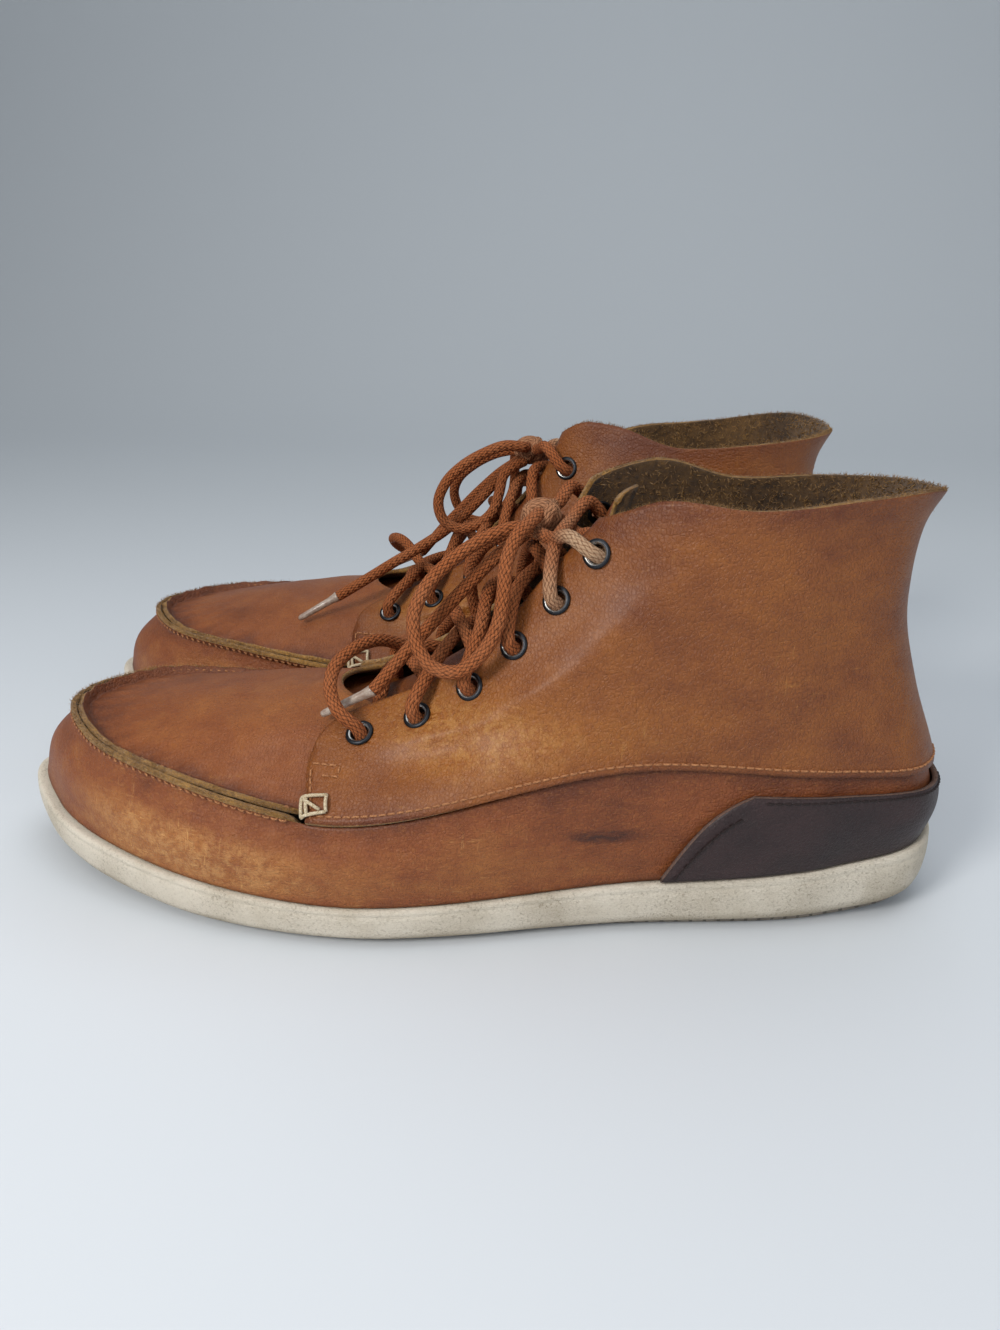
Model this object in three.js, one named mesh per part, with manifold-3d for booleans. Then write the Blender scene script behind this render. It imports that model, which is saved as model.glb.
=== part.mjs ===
// A pair of lace-up deck boots: unlined leather uppers with a raised moccasin seam round the toe,
// on a pale cupped midsole with a thin darker outsole. Millimetres, +Z up, toes towards -X.
// The left boot stands at -Y and the right boot, its mirror image, at +Y.
import * as THREE from "three";
import { mergeVertices } from "three/addons/utils/BufferGeometryUtils.js";
import Module from "manifold-3d";

// ---- Driving dimensions -------------------------------------------------------------------
const HEEL_X = 149.762; // the last's heel datum: a point's s runs from here towards the toe
const PAIR_SPACING = 110.8; // between the two boots' centre planes
const PAIR_STAGGER = 12.9; // the right boot stands this much further towards -X
const SPLAY = THREE.MathUtils.degToRad(1); // each boot's toe turns outward by this

const LEATHER = 1.8; // thickness of every upper piece
const PLY_GAP = 0.6; // room between two plies of an upper
const GAP = 0.3; // room between two other pieces that touch
const OVERLAY = PLY_GAP + LEATHER; // outer face of a quarter above the skin it covers

const SEAM_CLEARANCE = 2.4; // from the moccasin seam to the apron's standing edge
const RIDGE = 3.4; // how far that edge stands up
const BACK_SEAM = 0.014; // half the gap between the quarters at the heel, in stations
const PATCH_LIFT = 0.8; // of the heel patch above the other overlays
const STIFFENER = 1.2;
const TONGUE_DEPTH = 8.4; // outer face of the tongue below the skin, clear of the lacing

const SOLE_GAP = 0.6; // under the leather's lower edge
const OUTSOLE_THICKNESS = 3;
const OUTSOLE_INSET = 5.2;
const TOE_SPRING = { from: 212, length: 89, rise: 10.5 };
const HEEL_SPRING = { from: 45, length: 46, rise: 5.5 };
const SOLE_COLUMNS = 28; // points round each ring of the sole
const MIDSOLE_SIDE = [
  // [inset from the sole's outline, height share from 0 at the ground to 1 at the top]
  [2.2, 0.14],
  [0.4, 0.38],
  [0, 0.72],
  [0.4, 0.93],
  [1.6, 1],
];
const BOARD = { inset: 8, thickness: 2, lift: 0.3 };
const FOOTBED = { inset: 8.6, thickness: 4, lift: 2.6 };

const EYELET = { flange: 4.4, rolled: 4.0, barrel: 3.1, bore: 2.7, rim: 0.8, sides: 8 };
const EYELET_HOLE = 3.8;
const LACE = 4.2; // diameter, drawn tight enough to pass the eyelets
const LACE_SIDES = 8;
const AGLET = { length: 18, radius: 1.75, sides: 8 };
const KNOT = { at: [125, 0, 121], radii: [6.4, 6.4, 5.6] };

// Lace routes as [s, y, z] in a left boot's frame, s from the heel.
/** The slack first crossing, which stands up in an arc from the lowest lateral eyelet. */
const FIRST_ARC = [
  [182.5, -32, 67.5],
  [186.5, -27, 72],
  [187, -19.5, 77],
  [183, -11, 80],
  [177, -2, 80],
  [169.5, 7.5, 75],
];
/** From the top medial eyelet to the knot. */
const KNOT_LEAD = [
  [116.2, 21, 126],
  [120, 10, 123.5],
  [124, 3, 121.5],
];
/** A bow loop and end that lie down along the side of the lacing. */
const SIDE_BOW = {
  loop: [
    [127.5, -9.5, 122],
    [131, -16.5, 119.5],
    [133.5, -23.5, 113.5],
    [134, -28.5, 105],
    [135.5, -31.5, 96.5],
    [140.5, -33.5, 88],
    [147.5, -33.5, 83],
    [154.5, -32.5, 84],
    [159, -30, 89.5],
    [160.5, -26.5, 97],
    [157.5, -21.5, 104.5],
    [151.5, -16.5, 110.5],
    [144, -12.5, 115.5],
    [137, -9.5, 118.5],
    [131.5, -7.5, 119.5],
  ],
  tail: [
    [131.5, -3.2, 115],
    [137, -5.5, 111],
    [143, -8.5, 105.5],
    [150, -12, 98.5],
    [157, -15, 91],
    [163.5, -18, 84],
    [169, -19.8, 77.5],
    [174.5, -21.2, 71],
  ],
  tip: [187.5, -22.5, 64.5],
};
/** A bow loop and end that hang down the medial side of the shaft. */
const INNER_BOW = {
  loop: [
    [124.5, 9.5, 122],
    [124.5, 18, 121],
    [125.5, 26, 117],
    [127.5, 31.7, 110.5],
    [130, 35, 102],
    [131.5, 36.8, 93.5],
    [129.5, 37.8, 85],
    [122.5, 38.5, 80],
    [114.5, 38.5, 82.5],
    [111.5, 37.5, 90.5],
    [113.5, 36.5, 99],
    [117.5, 34.3, 107],
    [122, 30.3, 113.2],
    [126, 24, 116.3],
    [128.5, 17, 117.6],
    [129.5, 10.8, 118],
  ],
  tail: [
    [131, 4.5, 116],
    [137, 9.5, 113],
    [142, 15.5, 109],
    [146, 21.5, 104],
    [149, 27, 98],
    [150.5, 31.5, 91],
    [150.5, 34.8, 83.5],
    [149, 37, 75.5],
  ],
  tip: [147, 41, 62],
};
/** A bow loop that stands open over the throat, with an end that reaches the apron. */
const OPEN_BOW = {
  loop: [
    [126.5, 9.5, 124],
    [133, 13, 125],
    [141, 16.5, 122.5],
    [149, 19.5, 118],
    [155.5, 21.5, 111.5],
    [158.5, 22, 103.5],
    [156.5, 21.5, 96.5],
    [150.5, 20, 93],
    [143.5, 17.5, 94.5],
    [138, 14.5, 99],
    [135.5, 12.5, 106.5],
    [134, 11.5, 113],
  ],
  tail: [
    [131.5, 3.2, 115],
    [137, 4.5, 110],
    [143, 6.5, 103.5],
    [150, 9.5, 96.5],
    [158, 13.5, 90],
    [167, 18.5, 84.5],
    [177, 23, 79],
    [188, 27, 72.5],
    [199, 30, 66],
  ],
  tip: [212, 33, 58.5],
};

// ---- The last -----------------------------------------------------------------------------
// Seven rings round the boot, from the leather's lower edge up to the collar. Each ring has
// fourteen stations [s, y, z]: the heel, six up the lateral side, the toe or throat, and six
// back down the medial side. s is the distance from the heel; the left boot's lateral side is -y.
const RINGS = [
  {
    // where the leather meets the sole
    heel: [0.5, 3, 25.5],
    lateral: [[8, -17, 25], [33, -28, 22], [95, -38.5, 18], [190, -54, 14.5], [243, -42, 18], [286, -15, 23]],
    front: [300.5, 9.5, 26],
    medial: [[8, 23, 25], [33, 35.5, 22], [95, 33.5, 18], [190, 49.5, 14.5], [243, 46.5, 18], [285, 33, 23]],
  },
  {
    // the fullest part of the side wall
    heel: [-2, 3, 36],
    lateral: [[6, -18.5, 36], [32, -30.5, 36.5], [95, -41, 36], [190, -54.5, 27], [243, -42.5, 31], [284, -15, 36]],
    front: [296.5, 10, 38],
    medial: [[6, 24.5, 36], [32, 37.5, 36.5], [95, 37, 36], [190, 51.5, 27], [243, 47, 31], [281, 33.5, 36]],
  },
  {
    // the moccasin seam in front, the quarters' lower seam behind
    heel: [1, 3, 47.5],
    lateral: [[8.5, -17.5, 49.5], [34, -29, 52.5], [88, -38, 57], [190, -49.5, 39.5], [237, -38, 45.5], [269, -20, 49]],
    front: [285, 8, 50],
    medial: [[8.5, 23, 49.5], [34, 36.5, 52.5], [88, 37, 57], [190, 46.5, 39.5], [237, 43.5, 45.5], [269, 34, 49]],
  },
  {
    // the quarters' front corners
    heel: [10.5, 3, 73],
    lateral: [[16.5, -15.5, 73], [40, -26.5, 73], [92, -36, 70], [191, -31, 54], [216, -25, 56.5], [232, -11, 58]],
    front: [238, 4, 58.5],
    medial: [[16.5, 20.5, 73], [40, 31.5, 73], [92, 35, 70], [191, 31, 54], [216, 28, 56.5], [232, 18, 58]],
  },
  {
    // the foot of the throat
    heel: [16, 2, 95],
    lateral: [[22, -14, 95], [43, -25, 95], [90, -32, 87], [165, -28, 61.5], [184, -17, 62.5], [194, -8.5, 63.5]],
    front: [197, 0.5, 64],
    medial: [[22, 18, 95], [43, 28, 95], [90, 32, 87], [165, 28.5, 61.5], [184, 18, 62.5], [194, 9.5, 63.5]],
  },
  {
    // half way up the throat
    heel: [16.5, 1, 112],
    lateral: [[22, -13.5, 112], [42, -24.5, 112], [82, -29.5, 105], [122, -28, 86], [141, -18, 86], [148, -8.5, 86]],
    front: [150, 0, 86.5],
    medial: [[22, 16.5, 112], [42, 26, 112], [82, 29.5, 105], [122, 28, 86], [141, 18, 86], [148, 9, 86]],
  },
  {
    // below the collar
    heel: [14.5, 0.5, 124],
    lateral: [[20.5, -13, 124], [40, -24, 123], [74, -28, 119], [102, -25, 107.5], [120, -15.5, 107.5], [125, -7.5, 107.5]],
    front: [126.5, 0, 107.5],
    medial: [[20.5, 15, 123], [40, 25.5, 120], [74, 28, 117], [102, 25, 108.5], [120, 16, 108.5], [125, 8, 108]],
  },
  {
    // the collar
    heel: [10, 0, 133],
    lateral: [[17, -13.5, 135], [36, -24.5, 134.3], [65, -27.5, 131], [90, -22.5, 131.5], [106, -14.5, 123.5], [109, -7, 122]],
    front: [110, 0, 121.5],
    medial: [[17, 14.5, 132], [36, 25, 130.3], [65, 27, 128.5], [90, 22, 134.5], [109, 15, 128.5], [111, 7, 124]],
  },
];
const MOC = 2; // the ring that carries the moccasin seam
const COLLAR = 7;
const HEEL = 0;
const SEAM_END = 4; // the station where the moccasin seam ends on the lateral side
const THROAT = 5; // the station that the quarters' throat edge follows
const FRONT = 7;
const STATIONS = 14;

// The sole's outline at its top edge, by the same stations: [s, y].
const SOLE = {
  heel: [-3.5, 3],
  lateral: [[4.5, -20], [31, -30.5], [95, -40.5], [190, -55.5], [244, -44], [289, -17]],
  front: [304.5, 9.5],
  medial: [[4.5, 26.5], [31, 38.5], [95, 36], [190, 52.5], [244, 48.5], [288, 35.5]],
};

// ---- Curves -------------------------------------------------------------------------------
const vec = (p) => new THREE.Vector3(...p);
const mix = THREE.MathUtils.lerp;
const smooth = (x, low, high) => THREE.MathUtils.smoothstep(x, low, high);

/** The stations of a ring in order round the boot. */
function stationsOf(ring) {
  return [ring.heel, ...ring.lateral, ring.front, ...ring.medial.slice().reverse()];
}

/** The direction through b on the way from a to c, weighted by how near each neighbour is. */
function tangentAt(a, b, c) {
  const before = Math.max(a.distanceTo(b), 1e-6),
    after = Math.max(b.distanceTo(c), 1e-6);
  return b.clone().sub(a).multiplyScalar(after / before)
    .add(c.clone().sub(b).multiplyScalar(before / after))
    .divideScalar(before + after);
}

/** The cubic from a to b with end directions da and db. */
function hermite(a, b, da, db, f) {
  const length = a.distanceTo(b),
    f2 = f * f,
    f3 = f2 * f;
  return a.clone().multiplyScalar(2 * f3 - 3 * f2 + 1)
    .addScaledVector(da, (f3 - 2 * f2 + f) * length)
    .addScaledVector(b, 3 * f2 - 2 * f3)
    .addScaledVector(db, (f3 - f2) * length);
}

/** A point on the closed smooth curve through the stations; t counts stations. */
function roundRing(points, t) {
  const n = points.length,
    i = Math.floor(t),
    at = (k) => points[((k % n) + n) % n];
  return hermite(
    at(i),
    at(i + 1),
    tangentAt(at(i - 1), at(i), at(i + 1)),
    tangentAt(at(i), at(i + 1), at(i + 2)),
    t - i,
  );
}

const RING_POINTS = RINGS.map((ring) => stationsOf(ring).map(vec));
const SOLE_POINTS = stationsOf(SOLE).map(([s, y]) => vec([s, y, 0]));

/** How sharply the skin folds at the moccasin seam: 1 round the toe, 0 behind the seam's ends. */
function foldAt(t) {
  const fromHeel = Math.min(t, STATIONS - t);
  return smooth(fromHeel, SEAM_END - 0.5, SEAM_END);
}

/** The boot's outer skin in last coordinates: t stations round, h rings up. */
function lastPoint(t, h) {
  const k = Math.min(Math.floor(h), COLLAR - 1),
    column = (j) => roundRing(RING_POINTS[THREE.MathUtils.clamp(j, 0, COLLAR)], t),
    [p0, p1, p2, p3] = [column(k - 1), column(k), column(k + 1), column(k + 2)],
    straight = p2.clone().sub(p1).normalize(),
    fold = foldAt(t),
    lower = tangentAt(p0, p1, p2).lerp(straight, k === MOC ? fold : Number(k === 0)),
    upper = tangentAt(p1, p2, p3).lerp(straight, k + 1 === MOC ? fold : Number(k + 1 === COLLAR));
  return hermite(p1, p2, lower, upper, h - k);
}

const toBoot = (p) => new THREE.Vector3(HEEL_X - p.x, p.y, p.z);

/** A point of the left boot, `offset` outside the skin. */
function skin(t, h, offset = 0) {
  const d = 0.02,
    low = Math.max(h - d, 0),
    high = Math.min(h + d, COLLAR),
    along = toBoot(lastPoint(t + d, h)).sub(toBoot(lastPoint(t - d, h))),
    up = toBoot(lastPoint(t, high)).sub(toBoot(lastPoint(t, low))),
    normal = up.cross(along).normalize();
  return { point: toBoot(lastPoint(t, h)).addScaledVector(normal, offset), normal };
}

// ---- Solids from grids --------------------------------------------------------------------
/** A BufferGeometry from points and triangles. */
function meshOf(points, triangles) {
  const g = new THREE.BufferGeometry();
  g.setAttribute("position", new THREE.Float32BufferAttribute(points.flatMap((p) => p.toArray()), 3));
  g.setIndex(triangles);
  g.computeVertexNormals();
  return g;
}

/**
 * A sheet of leather between two faces, on the grid of shares us by vs. place(u, v) gives [t, h],
 * and inner and outer the two faces' distances from the skin. A sheet that runs all round the
 * boot is closed in u.
 */
function sheet({ us, vs, place, outer, inner, closed = false }) {
  const columns = us.length - 1,
    rows = vs.length - 1,
    wide = closed ? columns : columns + 1,
    faces = [outer, inner].map((offset) => {
      const away = (u, v) => (typeof offset === "function" ? offset(u, v) : offset);
      return vs.flatMap((v) => us.slice(0, wide).map((u) => skin(...place(u, v), away(u, v)).point));
    }),
    points = [...faces[0], ...faces[1]],
    at = (i, j, layer) => layer * faces[0].length + j * wide + (i % wide),
    triangles = [],
    quad = (a, b, c, d) => triangles.push(a, b, c, a, c, d);
  for (let j = 0; j < rows; j++)
    for (let i = 0; i < columns; i++) {
      quad(at(i, j, 0), at(i, j + 1, 0), at(i + 1, j + 1, 0), at(i + 1, j, 0));
      quad(at(i, j, 1), at(i + 1, j, 1), at(i + 1, j + 1, 1), at(i, j + 1, 1));
    }
  for (let i = 0; i < columns; i++) {
    quad(at(i, 0, 0), at(i + 1, 0, 0), at(i + 1, 0, 1), at(i, 0, 1));
    quad(at(i + 1, rows, 0), at(i, rows, 0), at(i, rows, 1), at(i + 1, rows, 1));
  }
  if (!closed)
    for (let j = 0; j < rows; j++) {
      quad(at(0, j + 1, 0), at(0, j, 0), at(0, j, 1), at(0, j + 1, 1));
      quad(at(columns, j, 0), at(columns, j + 1, 0), at(columns, j + 1, 1), at(columns, j, 1));
    }
  return meshOf(points, triangles);
}

/** A solid through a stack of rings with the same number of points, capped across the boot. */
function stack(rings) {
  const n = rings[0].length,
    triangles = [],
    quad = (a, b, c, d) => triangles.push(a, b, c, a, c, d);
  for (let k = 0; k + 1 < rings.length; k++)
    for (let i = 0; i < n; i++) {
      const next = (i + 1) % n;
      quad(k * n + i, (k + 1) * n + i, (k + 1) * n + next, k * n + next);
    }
  const top = (rings.length - 1) * n;
  for (let i = 0; i < n / 2; i++) {
    const [a, b, c, d] = [i, i + 1, n - i - 1, (n - i) % n];
    if (d === a) triangles.push(a, b, c, top + a, top + c, top + b);
    else if (b === c) triangles.push(a, b, d, top + a, top + d, top + b);
    else {
      quad(a, b, c, d);
      quad(top + a, top + d, top + c, top + b);
    }
  }
  return meshOf(rings.flat(), triangles);
}

// ---- Sole ---------------------------------------------------------------------------------
/** Height of the ground face under the point s from the heel. */
function groundRise(s) {
  const toe = Math.max(s - TOE_SPRING.from, 0) / TOE_SPRING.length,
    heel = Math.max(HEEL_SPRING.from - s, 0) / HEEL_SPRING.length;
  return TOE_SPRING.rise * toe * toe + HEEL_SPRING.rise * heel * heel;
}

/** Height of the sole's top at station t: just below the leather's lower edge. */
const soleTop = (t) => roundRing(RING_POINTS[0], t).z - SOLE_GAP;

/** The sole's outline drawn in by `inset`, at heights that rise(t, s) gives. */
function soleRing(count, inset, rise) {
  return Array.from({ length: count }, (_, i) => {
    const t = (i * STATIONS) / count,
      p = roundRing(SOLE_POINTS, t),
      along = roundRing(SOLE_POINTS, t + 0.02).sub(roundRing(SOLE_POINTS, t - 0.02)).normalize(),
      s = p.x - along.y * inset,
      y = p.y + along.x * inset;
    return toBoot(new THREE.Vector3(s, y, rise(t, s)));
  });
}

function outsole() {
  return stack([
    soleRing(SOLE_COLUMNS, OUTSOLE_INSET + 1, (t, s) => groundRise(s)),
    soleRing(SOLE_COLUMNS, OUTSOLE_INSET, (t, s) => groundRise(s) + OUTSOLE_THICKNESS),
  ]);
}

function midsole() {
  const base = soleRing(SOLE_COLUMNS, OUTSOLE_INSET, (t, s) => groundRise(s) + OUTSOLE_THICKNESS + GAP);
  return stack([
    base,
    ...MIDSOLE_SIDE.map(([inset, share]) =>
      soleRing(SOLE_COLUMNS, inset, (t, s) => mix(groundRise(s), soleTop(t), share)),
    ),
  ]);
}

function solePlate({ inset, thickness, lift }) {
  return stack([
    soleRing(SOLE_COLUMNS, inset, (t) => soleTop(t) + lift),
    soleRing(SOLE_COLUMNS, inset, (t) => soleTop(t) + lift + thickness),
  ]);
}

// ---- Uppers -------------------------------------------------------------------------------
/** Evenly spaced shares from 0 to 1. */
const even = (n) => Array.from({ length: n + 1 }, (_, i) => i / n);

/** The side wall: a strip of leather right round the boot, tucked under the quarters behind. */
function sideWall() {
  const edge = MOC - 0.03,
    tuck = 0.3,
    shoulder = 0.9,
    top = (t) => edge + tuck * (1 - smooth(Math.min(t, STATIONS - t), 3, 3.5));
  return sheet({
    us: even(42),
    vs: [0, 0.3, 0.6, shoulder, 1],
    place: (u, v) => [u * STATIONS, v > shoulder ? top(u * STATIONS) : (v / shoulder) * (edge - 0.1)],
    outer: (u, v) => (v > shoulder ? -GAP : 0),
    inner: (u, v) => (v > shoulder ? -GAP : 0) - LEATHER,
    closed: true,
  });
}

/** The ring number that lies `distance` above the moccasin seam at station t. */
function aboveMoc(t, distance) {
  const span = lastPoint(t, MOC).distanceTo(lastPoint(t, MOC + 1));
  return MOC + distance / span;
}

/** The apron: the panel over the toes, its edge standing up as the moccasin seam's ridge. */
function apron() {
  const side = SEAM_END - 0.1,
    toFront = (t) => Math.min(t, STATIONS - t),
    rear = (t) => 3.08 + 1.07 * smooth(toFront(t), SEAM_END, 6),
    ridge = 0.07;
  return sheet({
    us: [0, 0.03, ...even(12).map((u) => mix(0.06, 0.94, u)), 0.97, 1],
    vs: [0, ridge, ridge + 0.03, 0.3, 0.6, 1],
    place: (u, v) => {
      const t = mix(side, STATIONS - side, u);
      return [t, mix(aboveMoc(t, SEAM_CLEARANCE), rear(t), v)];
    },
    outer: (u, v) => (v <= ridge && u > 0.05 && u < 0.95 ? RIDGE : 0),
    inner: -LEATHER,
  });
}

/** The station of a quarter's front edge at height h: up from the seam, then along the throat. */
function throatEdge(h) {
  return SEAM_END + 0.8 * smooth(h, 2.9, 4.1) + 0.2 * smooth(h, 4.5, 6);
}

/** Where a point of the lateral side falls on the chosen side. */
const onSide = (side, t) => (side === "lateral" ? t : STATIONS - t);

/** A quarter, from the heel seam to the throat, before its eyelet holes are cut. */
function quarterBlank(side) {
  return sheet({
    us: even(12),
    vs: [0, 0.08, 0.2, 0.3, 0.4, 0.45, 0.52, 0.65, 0.8, 1],
    place: (u, v) => {
      const h = mix(MOC, COLLAR, v),
        share = side === "lateral" ? u : 1 - u,
        t = mix(BACK_SEAM, throatEdge(h), share);
      return [onSide(side, t), h];
    },
    outer: OVERLAY,
    inner: PLY_GAP,
  });
}

/** The dark patch round the foot of the heel, over the side wall. */
function heelPatch() {
  const reach = (v) => 2.85 - 0.42 * Math.sqrt(v),
    top = (t) => 1.62 - 0.22 * (1 - smooth(Math.abs(t), 0, 1.4));
  return sheet({
    us: even(20),
    vs: even(3),
    place: (u, v) => {
      const t = mix(-reach(v), reach(v), u);
      return [t, mix(0.12, top(t), v)];
    },
    outer: OVERLAY + PATCH_LIFT,
    inner: PLY_GAP + PATCH_LIFT,
  });
}

/** The stiffener inside the heel. */
function heelStiffener() {
  const reach = 2.3;
  return sheet({
    us: even(10),
    vs: even(3),
    place: (u, v) => [mix(-reach, reach, u), mix(0.3, 2.7, v)],
    outer: -LEATHER - PLY_GAP,
    inner: -LEATHER - PLY_GAP - STIFFENER,
  });
}

/** The tongue, under the apron's rear edge and then clear of the lacing up to the collar. */
function tongue() {
  const foot = 3.72,
    width = (h) => 2.32 + 0.26 * smooth(h, 4, COLLAR),
    sink = (h) => mix(LEATHER + PLY_GAP, TONGUE_DEPTH, smooth(h, 3.85, 4.25));
  const height = (v) => mix(foot, COLLAR, v);
  return sheet({
    us: even(6),
    vs: [0, 0.08, 0.16, 0.32, 0.5, 0.75, 1],
    place: (u, v) => {
      const h = height(v);
      return [FRONT + mix(-1, 1, u) * width(h), h];
    },
    outer: (u, v) => -sink(height(v)),
    inner: (u, v) => -sink(height(v)) - LEATHER,
  });
}

// ---- Booleans -----------------------------------------------------------------------------
const wasm = await Module();
wasm.setup();

/** A geometry as a manifold-3d solid. */
function solid(geometry) {
  const g = geometry.clone();
  g.deleteAttribute("normal");
  g.deleteAttribute("uv");
  const merged = mergeVertices(g, 1e-4);
  return new wasm.Manifold(
    new wasm.Mesh({
      numProp: 3,
      vertProperties: merged.attributes.position.array,
      triVerts: new Uint32Array(merged.index.array),
    }),
  );
}

/** A manifold-3d solid as a geometry. */
function geometryOf(made) {
  const m = made.getMesh(),
    g = new THREE.BufferGeometry();
  g.setAttribute("position", new THREE.BufferAttribute(m.vertProperties.slice(), 3));
  g.setIndex(new THREE.BufferAttribute(m.triVerts.slice(), 1));
  g.computeVertexNormals();
  return g;
}

// ---- Eyelets ------------------------------------------------------------------------------
/**
 * The lateral eyelets from the foot of the throat up: the station and ring of each, and the ring
 * that is level with it at the throat's edge and at the throat's centre.
 */
const EYELET_PLACES = [
  { t: 3.98, h: 3.53, edge: 4.19, centre: 4.43 },
  { t: 4.08, h: 4.16, edge: 4.56, centre: 4.77 },
  { t: 4.3, h: 4.62, edge: 4.93, centre: 5.25 },
  { t: 4.52, h: 5.1, edge: 5.48, centre: 5.8 },
  { t: 4.58, h: 5.74, edge: 6.04, centre: 6.42 },
  { t: 4.54, h: 6.42, edge: 6.9, centre: 7 },
];

/** The turn that takes +Y to a direction. */
const turnTo = (direction) =>
  new THREE.Quaternion().setFromUnitVectors(new THREE.Vector3(0, 1, 0), direction.clone().normalize());

/** An eyelet along +Y: a flanged barrel, rolled over inside the leather. */
function eyelet() {
  const top = OVERLAY + 1.2,
    foot = -0.6,
    { flange, rolled, barrel, bore, rim, sides } = EYELET;
  const profile = [
    [bore, foot - rim],
    [rolled, foot - rim],
    [rolled, foot],
    [barrel, foot],
    [barrel, top],
    [flange, top],
    [bore + 0.3, top + rim],
    [bore, foot - rim],
  ];
  return new THREE.LatheGeometry(profile.map((p) => new THREE.Vector2(...p)), sides);
}

/** A quarter with its six eyelet holes. */
function quarter(side) {
  let made = solid(quarterBlank(side));
  for (const { t, h } of EYELET_PLACES) {
    const { point, normal } = skin(onSide(side, t), h, OVERLAY / 2),
      punch = new THREE.CylinderGeometry(EYELET_HOLE, EYELET_HOLE, 8, EYELET.sides)
        .applyQuaternion(turnTo(normal))
        .translate(point.x, point.y, point.z);
    made = made.subtract(solid(punch));
  }
  return geometryOf(made);
}

// ---- Laces --------------------------------------------------------------------------------
/** A smooth route through chosen points, measured out point by point. */
class Route extends THREE.Curve {
  constructor(points) {
    super();
    this.points = points;
  }

  getPoint(u) {
    const last = this.points.length - 1,
      i = Math.min(Math.floor(u * last), last - 1),
      at = (k) => this.points[THREE.MathUtils.clamp(k, 0, last)],
      ends = [tangentAt(at(i - 1), at(i), at(i + 1)), tangentAt(at(i), at(i + 1), at(i + 2))];
    return hermite(at(i), at(i + 1), ends[0], ends[1], u * last - i);
  }

  getPointAt(u) {
    return this.getPoint(u);
  }

  getTangentAt(u) {
    return this.getTangent(u);
  }
}

/** A tube of lace along a route, with `steps` rings between two route points. */
function tube(points, steps = 1) {
  const section = new THREE.Shape(
    Array.from({ length: LACE_SIDES }, (_, i) => {
      const a = (2 * Math.PI * i) / LACE_SIDES;
      return new THREE.Vector2((LACE / 2) * Math.cos(a), (LACE / 2) * Math.sin(a));
    }),
  );
  return new THREE.ExtrudeGeometry(section, {
    steps: (points.length - 1) * steps,
    extrudePath: new Route(points),
  });
}

/** A lace point over or under the skin. */
const lacePoint = (side, t, h, offset) => skin(onSide(side, t), h, offset).point;
const other = (side) => (side === "lateral" ? "medial" : "lateral");

const LACE_UNDER = -4; // a lace's centre line below an eyelet
const LACE_OVER = 6.1; // and above one
const CROSS_OVER = 2.8; // the two ends where they cross over the tongue
const CROSS_UNDER = -2.2;
const EDGE_OVER = 5.6; // and where each passes the throat's edges
const EDGE_UNDER = -2.5;

/** The points of one lace end: out of the first eyelet, then crossing up to the sixth. */
function laceEnd(start, cross, arc) {
  const points = [];
  let side = start;
  EYELET_PLACES.forEach((here, k) => {
    points.push(lacePoint(side, here.t, here.h, LACE_OVER));
    const next = EYELET_PLACES[k + 1];
    if (!next) return;
    if (k === 0 && arc) points.push(...arc);
    else {
      const over = mix(here.edge, next.edge, 0.25);
      points.push(lacePoint(side, throatEdge(over) + 0.1, over, EDGE_OVER));
      points.push(lacePoint(side, FRONT, mix(here.centre, next.centre, 0.5), cross));
    }
    side = other(side);
    const under = mix(here.edge, next.edge, 0.85);
    points.push(lacePoint(side, throatEdge(under) + 0.1, under, EDGE_UNDER));
    points.push(lacePoint(side, next.t, next.h, LACE_UNDER));
  });
  return points;
}

/** The lace through all twelve eyelets, with both ends in the knot. */
function threadedLace() {
  const { t, h, edge, centre } = EYELET_PLACES[0],
    bar = [
      lacePoint("lateral", t, h, LACE_UNDER),
      lacePoint("lateral", throatEdge(edge) + 0.2, edge, EDGE_UNDER),
      lacePoint("lateral", FRONT, centre, EDGE_UNDER - 1),
      lacePoint("medial", throatEdge(edge) + 0.2, edge, EDGE_UNDER),
      lacePoint("medial", t, h, LACE_UNDER),
    ];
  const toKnot = KNOT_LEAD.map(lacing),
    lateral = [...laceEnd("lateral", CROSS_OVER, FIRST_ARC.map(lacing)), ...toKnot],
    medial = [...laceEnd("medial", CROSS_UNDER), ...toKnot.map(flip)],
    route = [...lateral.reverse(), ...bar, ...medial],
    knot = new THREE.SphereGeometry(1, 10, 8).scale(...KNOT.radii).translate(...lacing(KNOT.at).toArray());
  return geometryOf(solid(tube(route)).add(solid(knot)));
}

/** A chosen lace point [s, y, z] in the boot's own frame. */
const lacing = (p) => toBoot(vec(p));
const flip = (p) => new THREE.Vector3(p.x, -p.y, p.z);

/** The metal-clear tip on a lace's end: a short rod along its direction. */
function aglet() {
  const { length, radius, sides } = AGLET,
    profile = [[0, 0], [radius, 0], [radius, length - 1.5], [radius * 0.6, length], [0, length]];
  return new THREE.LatheGeometry(profile.map((p) => new THREE.Vector2(...p)), sides);
}

// ---- Assembly -----------------------------------------------------------------------------
const finish = (color, roughness, metalness = 0) =>
  new THREE.MeshStandardMaterial({ color, roughness, metalness });
const FINISHES = {
  tan: finish(0x9a5a2b, 0.5),
  apron: finish(0x8f4f28, 0.52),
  wall: finish(0x8e5229, 0.55),
  foxing: finish(0x3a2226, 0.45),
  suede: finish(0x5a4025, 0.95),
  foam: finish(0xd8d2c4, 0.8),
  rubber: finish(0x8c8478, 0.85),
  board: finish(0x8a7a60, 0.9),
  stiffener: finish(0x9b8f7a, 0.9),
  lace: finish(0x9a5636, 0.9),
  eyelet: finish(0x55575c, 0.35, 1),
  aglet: finish(0xb9b2a8, 0.3),
};

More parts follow.
